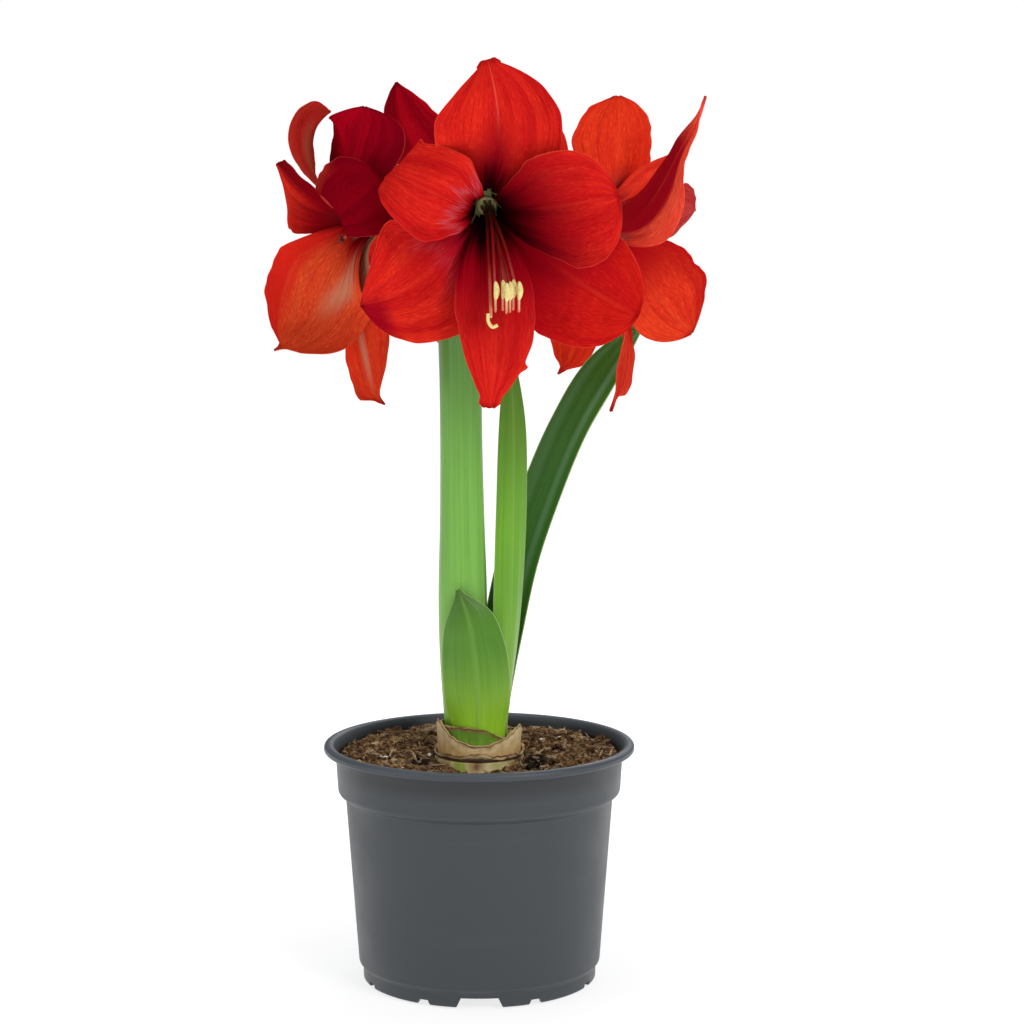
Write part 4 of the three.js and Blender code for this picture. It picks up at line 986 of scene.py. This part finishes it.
def tepal_form(
    bloom, root, seed, place, length, half, peak, blunt, bend, sway, twist, cup, flares=(), tip=None, end=0,
    spur=(0, 1, 0, 1),
):
    """Returns the place function of one tepal: a spine that bends out of the throat, with its blade
    laid across it."""
    mouth, axis, up, level = bloom_axes(bloom)
    angle = math.radians(place)
    out = up * math.cos(angle) + level * math.sin(angle)
    around = -up * math.sin(angle) + level * math.cos(angle)

    def surface(u, v):
        s = np.linspace(0, 1, 49)
        bent, swayed = np.radians(along(bend, s)), np.radians(along([0, *sway], s))
        tangent = np.cos(bent)[:, None] * axis + np.sin(bent)[:, None] * out
        face = np.sin(bent)[:, None] * axis - np.cos(bent)[:, None] * out
        swung = np.cos(swayed)[:, None] * tangent + np.sin(swayed)[:, None] * around
        across = np.cos(swayed)[:, None] * around - np.sin(swayed)[:, None] * tangent
        steps = np.vstack([np.zeros(3), np.cumsum(swung[:-1] * length / 48, 0)])
        centre = mouth + axis * 0.35 + out * root + steps
        radius = (centre - mouth) @ out
        u = u + 0.3 * u * (1 - u)
        centre, across, face, onward = (
            np.stack([np.interp(u, s, way[:, k]) for k in range(3)], -1)
            for way in (centre, across, face, swung)
        )
        radius, bent = np.interp(u, s, radius), np.interp(u, s, bent)
        width = np.minimum(half * blade_share(u, peak, blunt), 0.92 * np.maximum(radius, 3))
        width = np.maximum(width, end * smooth((u - 0.5) / 0.3) * (1 - 0.4 * smooth((u - 0.98) / 0.02)))
        turn = width * np.maximum(np.cos(bent), 0) / np.maximum(radius, 1)
        turn = turn + np.radians(along([cup[0], cup[0], cup[1]], u)) * smooth((u - 0.25) / 0.5)
        turn = np.where(np.abs(turn) < 1e-3, 1e-3, turn)
        roll = np.radians(along([0, *twist], u))
        side = np.cos(roll)[:, None] * across + np.sin(roll)[:, None] * face
        normal = np.cos(roll)[:, None] * face - np.sin(roll)[:, None] * across
        if tip:
            start, swing, lift, narrow, reach = tip
            past = np.clip((u - start) / (1 - start), 0, 1)
            centre = centre + (past**2)[:, None] * (swing * side + lift * normal + reach * onward)
            width = width * (1 - narrow * smooth(past / 0.7))
        reached = np.repeat(v[None, :], len(u), 0)
        for flank, at, spread, gain in flares:
            factor = 1 + gain * np.exp(-(((u - at) / spread) ** 2)) * smooth(u / 0.2)
            reached = np.where(reached * flank > 0, reached * factor[:, None], reached)
        arc = (width / turn)[:, None]
        sideways = arc * np.sin(turn[:, None] * reached)
        inwards = arc * (1 - np.cos(turn[:, None] * reached))
        free = smooth((u - 0.2) / 0.35)[:, None]
        inwards = inwards - 0.9 * np.exp(-((v / 0.075) ** 2)) * free * (1 - u[:, None]) ** 0.5
        for i, t in enumerate(u):
            for j, w in enumerate(v):
                wave = noise.noise(Vector((t * 6.5, w * 0.8 + seed, seed * 1.7)))
                frill = noise.noise(Vector((t * 17, w * 2 + seed, seed * 0.7)))
                fold = noise.noise(Vector((t * 1.4, w * 3.4, seed * 3.1)))
                edge = abs(w) ** 3
                inwards[i, j] += free[i, 0] * (edge * (1.7 * wave + 0.6 * frill) + 0.8 * fold * (1 - edge))
                sideways[i, j] += free[i, 0] * w * edge * 0.7 * frill
                if w * spur[1] > 0:
                    tooth = math.exp(-(((t - spur[0]) / spur[3]) ** 2))
                    sideways[i, j] += spur[1] * spur[2] * abs(w) ** 9 * tooth
        return centre[:, None] + side[:, None] * sideways[..., None] + normal[:, None] * inwards[..., None]

    return surface


# The tepal effect: streaks and flecks, a side darkened by painted shade (a red or brown margin on a few
# tepals), a stripe, a deep throat with pale rays whose darkness is partly painted shade, a pale painted
# sheen on the crest where the throat ends, and a fine light margin.
tepal_effect, given = shared_effect(
    "tepal_markings", ("Main", "Second", "Deep", "Throat", "Star", "Stripe", "Vein", "Shade"),
    ("Seed", "Deep End", "Throat End", "Stripe Width", "Stripe Strength", "Stripe Start", "Stripe End",
     "Second Share", "Stripe At", "Stripe Lean", "Shade From", "Shade To", "Shade Start", "Shade Full",
     "Shade Strength", "Crest At", "Crest Strength", "Deep Narrow"),
)
art = tepal_effect
shift = node(art, "CombineXYZ", {k: given["Seed"] for k in range(3)})[0]
sheet = node(art, "VectorMath", {0: given["Sheet"], 1: shift}, operation="ADD")[0]
vein = noisy(art, stretched(art, sheet, (105, 2.2, 1)), 1, 3)
broad = noisy(art, stretched(art, sheet, (7, 0.9, 1)), 1, 2)
flecks = noisy(art, stretched(art, sheet, (95, 24, 1)), 1, 2)
cloud = noisy(art, given["Place"], 55, 3)
sparkle = cells(art, given["Place"], 2400)
across, upwards = axes_of(art, given["Sheet"])[:2]
side = maths(art, "ABSOLUTE", maths(art, "SUBTRACT", across, 0.5))

red = maths(art, "MULTIPLY", eased(art, broad, 0.38, 0.66), given["Second Share"])
red = mixed(art, red, given["Main"], given["Second"])
red = mixed(art, eased(art, cloud, 0.42, 0.75, 0.4), red, (0.62, 0.5, 0.55), "MULTIPLY")
red = mixed(art, eased(art, vein, 0.45, 0.68, 0.5), red, given["Vein"], "MULTIPLY")
red = mixed(art, eased(art, flecks, 0.54, 0.7, 0.6), red, (1.3, 2.5, 1.9), "MULTIPLY")
red = mixed(art, eased(art, flecks, 0.46, 0.3, 0.45), red, (0.66, 0.35, 0.6), "MULTIPLY")

# Painted shade: a darker band across the blade where a tepal lies under another or turns from the light; on a
# few tepals the same mark is a red or brown margin.
warped = maths(art, "ADD", across, maths(art, "MULTIPLY", maths(art, "SUBTRACT", broad, 0.5), 0.5))
shade = eased(art, warped, given["Shade From"], given["Shade To"])
shade = maths(art, "MULTIPLY", shade, eased(art, upwards, given["Shade Start"], given["Shade Full"]))
red = mixed(art, maths(art, "MULTIPLY", shade, given["Shade Strength"]), red, given["Shade"])

middle = maths(art, "ADD", given["Stripe At"], maths(art, "MULTIPLY", given["Stripe Lean"], upwards))
from_stripe = maths(art, "ABSOLUTE", maths(art, "SUBTRACT", across, middle))
stripe = maths(art, "MULTIPLY", eased(art, from_stripe, given["Stripe Width"], 0.0), given["Stripe Strength"])
begun = eased(art, upwards, given["Stripe Start"], maths(art, "ADD", given["Stripe Start"], 0.25))
ended = eased(art, upwards, given["Stripe End"], maths(art, "SUBTRACT", given["Stripe End"], 0.35))
for share in (begun, ended, eased(art, vein, 0.3, 0.56)):
    stripe = maths(art, "MULTIPLY", stripe, share)
red = mixed(art, stripe, red, given["Stripe"])

# Toward the base the tepal darkens to the throat: its own dark red, deepened with painted shade inside the
# throat.
near = maths(art, "ADD", upwards, maths(art, "MULTIPLY", maths(art, "SUBTRACT", vein, 0.5), 0.3))
near = maths(art, "ADD", near, maths(art, "MULTIPLY", maths(art, "SUBTRACT", broad, 0.5), 0.3))
near = maths(art, "ADD", near, maths(art, "MULTIPLY", side, given["Deep Narrow"]))
for zone, full in (("Deep", 0.35), ("Throat", 0.4)):
    end = given[zone + " End"]
    red = mixed(art, eased(art, near, end, maths(art, "MULTIPLY", end, full)), red, given[zone])
ray = maths(art, "MULTIPLY", eased(art, side, 0.08, 0.02), eased(art, upwards, 0.13, 0.03))
red = mixed(art, ray, red, given["Star"])

# A painted sheen: a pale lilac band on the crest where the tepal folds into the throat.
crest_foot = eased(art, near, maths(art, "SUBTRACT", given["Crest At"], 0.03), given["Crest At"])
crest_top = eased(art, near, maths(art, "ADD", given["Crest At"], 0.06), given["Crest At"])
crest_sheen = maths(art, "MULTIPLY", maths(art, "MULTIPLY", crest_foot, crest_top), given["Crest Strength"])
red = mixed(art, crest_sheen, red, (0.55, 0.13, 0.18))
margin = maths(art, "MULTIPLY", eased(art, side, 0.49, 0.4995, 0.3), eased(art, upwards, 0.3, 0.55))
red = mixed(art, margin, red, (0.85, 0.13, 0.07))
red = mixed(art, eased(art, upwards, 0.95, 0.995, 0.6), red, (0.45, 0.2, 0.4), "MULTIPLY")
gloss = ranged(art, sparkle, 0.0, 0.8, 0.42, 0.62)
height = maths(art, "ADD", vein, maths(art, "MULTIPLY", sparkle, 0.25))
plug(art, tepal_effect.nodes.new("NodeGroupOutput"), dict(Color=red, Roughness=gloss, Height=height))


def tepal_paint(name, seed, values):
    """One tepal finish with its own reds."""
    return drawn_with(
        tepal_effect, name, 0.3, 0.0005, {"Seed": seed, **values}, Specular_IOR_Level=0.0,
        Subsurface_Weight=0.1, Subsurface_Radius=(1.0, 0.05, 0.03), Subsurface_Scale=0.003,
    )


# The scarlet set is the tepals' own red. The crimson set darkens it as painted shade for tepals turned from
# the key lamp; the vermilion and orange sets brighten it toward orange as painted light for tepals that face
# it, and the orange set also has a real pale stripe. The dusky set has a broad pale stripe, and the outer set
# is the outer face.
SCARLET = dict(
    Main=(0.7, 0.018, 0.01), Second=(0.55, 0.006, 0.01), Deep=(0.22, 0.0008, 0.008),
    Throat=(0.03, 0.0003, 0.002), Star=(0.5, 0.52, 0.26), Stripe=(0.76, 0.05, 0.02), Vein=(0.6, 0.25, 0.45),
    Shade=(0.16, 0.0008, 0.006), Deep_End=0.6, Throat_End=0.3, Deep_Narrow=0.0, Stripe_At=0.5,
    Stripe_Lean=0.0, Stripe_Width=0.035, Stripe_Strength=0.35, Stripe_Start=0.3, Stripe_End=1.1,
    Second_Share=0.7, Shade_From=0.5, Shade_To=0.2, Shade_Start=-1.0, Shade_Full=-0.5, Shade_Strength=0.0,
    Crest_At=0.3, Crest_Strength=0.0,
)
CRIMSON_IN_SHADE = dict(
    SCARLET, Main=(0.34, 0.002, 0.01), Second=(0.22, 0.001, 0.008), Deep=(0.12, 0.0006, 0.005),
    Stripe=(0.42, 0.006, 0.014),
)
VERMILION_IN_LIGHT = dict(
    SCARLET, Main=(0.86, 0.045, 0.014), Second=(0.72, 0.018, 0.012), Deep=(0.46, 0.008, 0.01),
    Stripe=(0.86, 0.08, 0.03), Throat=(0.2, 0.004, 0.008),
)
ORANGE_IN_LIGHT = dict(
    SCARLET, Main=(0.76, 0.08, 0.022), Second=(0.72, 0.03, 0.012), Deep=(0.5, 0.022, 0.01),
    Stripe=(0.5, 0.24, 0.14), Stripe_Width=0.15, Stripe_Strength=0.9, Stripe_Start=-0.1, Stripe_End=0.85,
)
DUSKY = dict(
    SCARLET, Main=(0.56, 0.03, 0.02), Second=(0.42, 0.014, 0.012), Deep=(0.46, 0.035, 0.022),
    Throat=(0.36, 0.03, 0.02), Stripe=(0.48, 0.16, 0.08), Stripe_Width=0.25, Stripe_Strength=0.75,
    Stripe_Start=0.0,
)
OUTER = dict(
    SCARLET, Main=(0.58, 0.026, 0.016), Second=(0.46, 0.014, 0.012), Deep=(0.44, 0.05, 0.025),
    Throat=(0.42, 0.2, 0.08), Stripe=(0.5, 0.2, 0.1), Stripe_Width=0.2, Stripe_Strength=0.7,
    Stripe_Start=-0.2,
)
REDS = {
    "front_sepal_top": dict(
        SCARLET, Main=(0.74, 0.022, 0.012), Deep=(0.2, 0.0008, 0.008), Deep_End=0.85, Throat_End=0.5,
        Deep_Narrow=1.2, Stripe=(0.86, 0.1, 0.06), Stripe_Width=0.022, Stripe_Start=0.5, Stripe_End=1.4,
        Stripe_Strength=0.75),
    # Its shade is the painted shadow under the edge of the right petal.
    "front_sepal_right": dict(
        SCARLET, Main=(0.66, 0.014, 0.009), Deep=(0.4, 0.0014, 0.012), Deep_End=0.75, Shade_From=0.6,
        Shade_To=0.2, Shade_Start=0.8, Shade_Full=0.5, Shade=(0.4, 0.002, 0.012), Shade_Strength=0.7),
    "front_sepal_left": dict(
        SCARLET, Main=(0.78, 0.026, 0.014), Deep=(0.46, 0.006, 0.024), Crest_At=0.4, Crest_Strength=0.15,
        Shade=(0.3, 0.001, 0.01), Shade_From=0.75, Shade_To=0.4, Shade_Start=0.76, Shade_Full=0.88,
        Shade_Strength=0.9),
    # Its deep zone, reaching far up the blade, is painted shadow from the throat.
    "front_petal_right": dict(
        SCARLET, Main=(0.78, 0.022, 0.014), Deep=(0.18, 0.0006, 0.006), Deep_End=0.9, Throat_End=0.5),
    "front_petal_bottom": dict(
        SCARLET, Main=(0.76, 0.024, 0.014), Deep=(0.34, 0.001, 0.01), Deep_End=0.75, Throat_End=0.35),
    "front_petal_left": dict(
        SCARLET, Main=(0.7, 0.018, 0.012), Deep=(0.26, 0.001, 0.012), Deep_End=0.42, Crest_At=0.36,
        Crest_Strength=0.42),
    "left_sepal_top": dict(
        CRIMSON_IN_SHADE, Main=(0.5, 0.002, 0.014), Second=(0.3, 0.001, 0.01), Shade_From=0.5, Shade_To=0.85,
        Shade=(0.17, 0.0005, 0.008), Shade_Strength=0.8),
    "left_sepal_near": dict(
        ORANGE_IN_LIGHT, Main=(0.68, 0.045, 0.014), Deep=(0.44, 0.2, 0.11), Deep_End=0.4, Throat=(0.44, 0.2, 0.11),
        Stripe_Width=0.12, Stripe_End=1.0),
    "left_sepal_far": dict(
        VERMILION_IN_LIGHT, Main=(0.7, 0.03, 0.014), Deep=(0.24, 0.001, 0.006), Shade_From=0.62, Shade_To=0.85,
        Shade_Strength=0.9),
    "left_petal_near": dict(
        CRIMSON_IN_SHADE, Main=(0.24, 0.0008, 0.007), Second=(0.17, 0.0006, 0.006), Deep=(0.12, 0.0005, 0.005),
        Stripe=(0.28, 0.001, 0.008), Shade_From=0.12, Shade_To=0.0, Shade_Start=0.8, Shade_Full=0.6,
        Shade=(0.42, 0.03, 0.018), Shade_Strength=0.5),
    "left_petal_bottom": dict(
        ORANGE_IN_LIGHT, Second_Share=0.4, Stripe_At=0.13, Stripe_Lean=0.45, Stripe_End=0.7, Shade_From=0.7,
        Shade_To=0.92, Shade=(0.68, 0.012, 0.01), Shade_Strength=0.85, Deep=(0.4, 0.006, 0.01),
        Deep_End=0.27, Throat=(0.16, 0.001, 0.004), Throat_End=0.18),
    "left_petal_far": dict(DUSKY, Stripe_End=0.85),
    "right_sepal_top": dict(VERMILION_IN_LIGHT, Deep=(0.4, 0.035, 0.03), Deep_End=0.42),
    "right_sepal_far": dict(VERMILION_IN_LIGHT, Main=(0.52, 0.05, 0.045), Second=(0.42, 0.02, 0.024)),
    "right_sepal_near": dict(VERMILION_IN_LIGHT, Main=(0.66, 0.04, 0.018), Second=(0.56, 0.022, 0.014)),
    "right_petal_far": dict(VERMILION_IN_LIGHT, Main=(0.88, 0.05, 0.022), Deep=(0.7, 0.04, 0.03), Deep_End=0.35),
    "right_petal_bottom": dict(
        VERMILION_IN_LIGHT, Main=(0.86, 0.055, 0.018), Second=(0.74, 0.028, 0.014), Deep=(0.46, 0.004, 0.01),
        Deep_End=0.7, Shade_From=0.22, Shade_To=0.03, Shade=(0.5, 0.002, 0.01), Shade_Strength=0.85),
    # Brightened as painted light where it turns from the key lamp; its shade is painted shade over its inner
    # face.
    "right_petal_near": dict(
        VERMILION_IN_LIGHT, Main=(1.0, 0.1, 0.05), Second=(0.95, 0.06, 0.035), Vein=(0.85, 0.6, 0.7),
        Deep=(0.4, 0.01, 0.014), Deep_End=0.3, Throat=(0.36, 0.08, 0.06), Throat_End=0.2, Shade_From=0.22,
        Shade_To=0.38, Shade=(0.42, 0.001, 0.014), Shade_Start=0.95, Shade_Full=0.7, Shade_Strength=0.95),
    "back_sepal_top": dict(
        CRIMSON_IN_SHADE, Main=(0.48, 0.003, 0.012), Shade_From=0.5, Shade_To=0.75, Shade_Strength=0.6),
    "back_petal_bottom": VERMILION_IN_LIGHT,
}
underside = tepal_paint("tepal_underside", 3.7, OUTER)
for k, (name, bloom) in enumerate(BLOOMS.items()):
    for m, (tepal, shape) in enumerate(TEPALS[name].items()):
        kind, full_name = tepal.split("_")[0], f"{name}_{tepal}"
        form = tepal_form(bloom, ROOT_RADIUS[kind], 5.3 * k + 1.9 * m, **shape)
        blade = laid_out(full_name + "_blade", form, 72 if name == "front" else 56, 36, 1.0, rim=0.35)
        inside = tepal_paint(full_name + "_red", 2.9 * (6 * k + m), REDS.get(full_name, SCARLET))
        dressed(blade, kind, [full_name], inside, underside)

# ---------------------------------------------------------------- stamens and style
# Six filaments lean down from the throat and turn up at their ends, each with an anther, round a longer
# style with a curled stigma. In the young blooms they are still short, and the stigma has three lobes.

FILAMENTS = [(-4.9, 62), (-1.7, 60), (-0.1, 64.5), (1.4, 62.5), (2.9, 59), (5.4, 62)]  # place, length
FILAMENT_CIRCLE = 2.6
DISC_RADIUS, DISC_HEIGHT = 4.2, 1.8

filament_red, art = finish("filament_red")
tint = ramped(
    art, axes_of(art, sheet_place(art))[1],
    (0.0, (0.16, 0.15, 0.04)), (0.12, (0.1, 0.012, 0.008)), (0.6, (0.3, 0.008, 0.008)),
    (0.84, (0.62, 0.09, 0.04)), (1.0, (0.85, 0.42, 0.2)),
)
surfaced(art, Base_Color=tint, Roughness=0.3, Coat_Weight=0.3)

pollen_cream, art = finish("pollen_cream")
grains = noisy(art, object_place(art), 1500, 3)
tint = ramped(art, grains, (0.35, (0.74, 0.58, 0.18)), (0.6, (0.92, 0.8, 0.36)))
surfaced(art, Base_Color=tint, Roughness=0.85, Normal=bumped(art, grains, 0.3, 0.0004))

unripe_red, art = finish("unripe_red")
cloud = noisy(art, object_place(art), 400, 3)
tint = ramped(art, cloud, (0.3, (0.09, 0.004, 0.006)), (0.7, (0.2, 0.012, 0.01)))
surfaced(art, Base_Color=tint, Roughness=0.6)


def painted(piece, material):
    """Gives a part of the cluster its one material."""
    piece.data.materials.clear()
    piece.data.materials.append(material)
    return piece


def grown_stamens(bloom):
    """The disc, filaments, anthers, style and stigma of one bloom. reach is 1 where they are ripe."""
    mouth, axis, up, level = bloom_axes(bloom)
    reach, lean = bloom["reach"], bloom["lean"]
    ripe = reach == 1
    pollen = pollen_cream if ripe else unripe_red
    spread = 0.5 + 0.5 * reach
    anther_length = 4.5 + 3.5 * reach
    drop = -28 * reach

    def at(forward, upward, sideways):
        return mouth + axis * forward + up * upward + level * sideways

    bpy.ops.object.select_all(action="DESELECT")
    bpy.ops.mesh.primitive_cylinder_add(
        vertices=32,
        radius=DISC_RADIUS * MM,
        depth=DISC_HEIGHT * MM,
        location=at(0.35 + DISC_HEIGHT / 2, 0, 0) * MM,
        rotation=Vector(axis).to_track_quat("Z", "Y").to_euler(),
    )
    disc = bpy.context.object
    bpy.ops.object.transform_apply(location=True, rotation=True)
    pieces = [painted(disc, pollen_cream)]

    def grow(name, material, points, girth, rows, sides):
        tube = grown_tube(name, [at(*point) for point in points], girth, rows, sides)
        pieces.append(painted(tube, material))

    for k, (apart, ripe_length) in enumerate(FILAMENTS):
        turn = 2 * math.pi * (k + 0.5) / len(FILAMENTS)
        upward, sideways = FILAMENT_CIRCLE * math.cos(turn), FILAMENT_CIRCLE * math.sin(turn)
        end = (lean + (apart if ripe else 2.4 * k - 6)) * spread
        length = reach * (ripe_length if ripe else 62 + 2.5 * math.sin(2.4 * k))
        line = [
            (1, upward, sideways),
            (0.32 * length, upward + 0.13 * drop, sideways + 0.3 * (end - sideways)),
            (0.68 * length, upward * 0.6 + 0.5 * drop, sideways + 0.7 * (end - sideways)),
            (0.93 * length, drop - 2 if ripe else 0.93 * drop, end),
            (length, drop - 4 if ripe else drop, end),
            (length + 2, drop + 3.5, end),
        ]
        grow("filament", filament_red, line, lambda t, run: 0.8 - 0.25 * t, 40, 10)
        line = [
            (length + 2.3, drop + 1.6, end),
            (length + 1.9, drop + 2 + 0.5 * anther_length, end + 0.5),
            (length + 1.4, drop + 2 + anther_length, end),
        ]
        grow("anther", pollen, line, lambda t, run: 0.25 + 1.05 * math.sin(math.pi * t) ** 0.6, 16, 14)
    tip_x, tip_y, tip_z = 64 * reach + 5, -32.5 * reach, (lean - 7) * spread
    line = [
        (1, 0, 0),
        (0.33 * tip_x, 0.17 * tip_y, 0.25 * tip_z),
        (0.67 * tip_x, 0.56 * tip_y, 0.7 * tip_z),
        (0.9 * tip_x, 0.92 * tip_y, tip_z),
        (tip_x, tip_y, tip_z),
    ]
    grow("style", filament_red, line, lambda t, run: 0.95 - 0.25 * t, 40, 12)
    if ripe:
        line = [
            (tip_x, tip_y + 1.5, tip_z - 1.2),
            (tip_x + 1, tip_y - 2, tip_z - 1),
            (tip_x + 1.5, tip_y - 4.2, tip_z + 0.8),
            (tip_x + 1.2, tip_y - 3.4, tip_z + 3),
        ]
        grow("curled_stigma", pollen_cream, line, lambda t, run: 0.75, 16, 12)
    for turn in () if ripe else (90, 210, 330):
        upward, sideways = 2.6 * math.sin(math.radians(turn)), 2.6 * math.cos(math.radians(turn))
        line = [
            (tip_x - 0.6, tip_y, tip_z),
            (tip_x + 1.4, tip_y + 0.5 * upward, tip_z + 0.5 * sideways),
            (tip_x + 1.2, tip_y + upward, tip_z + sideways),
        ]
        grow("stigma", pollen, line, lambda t, run: 0.62 - 0.2 * t, 10, 10)
    return pieces


for name, bloom in BLOOMS.items():
    pieces = grown_stamens(bloom)
    bpy.ops.object.select_all(action="DESELECT")
    for piece in pieces:
        piece.select_set(True)
    bpy.context.view_layer.objects.active = pieces[0]
    bpy.ops.object.join()
    cluster = bpy.context.object
    cluster.name = name + "_stamens_and_style"
    bpy.ops.object.transform_apply(location=True, rotation=True, scale=True)
    dressed(cluster, "stamens", [name + "_stamens"])
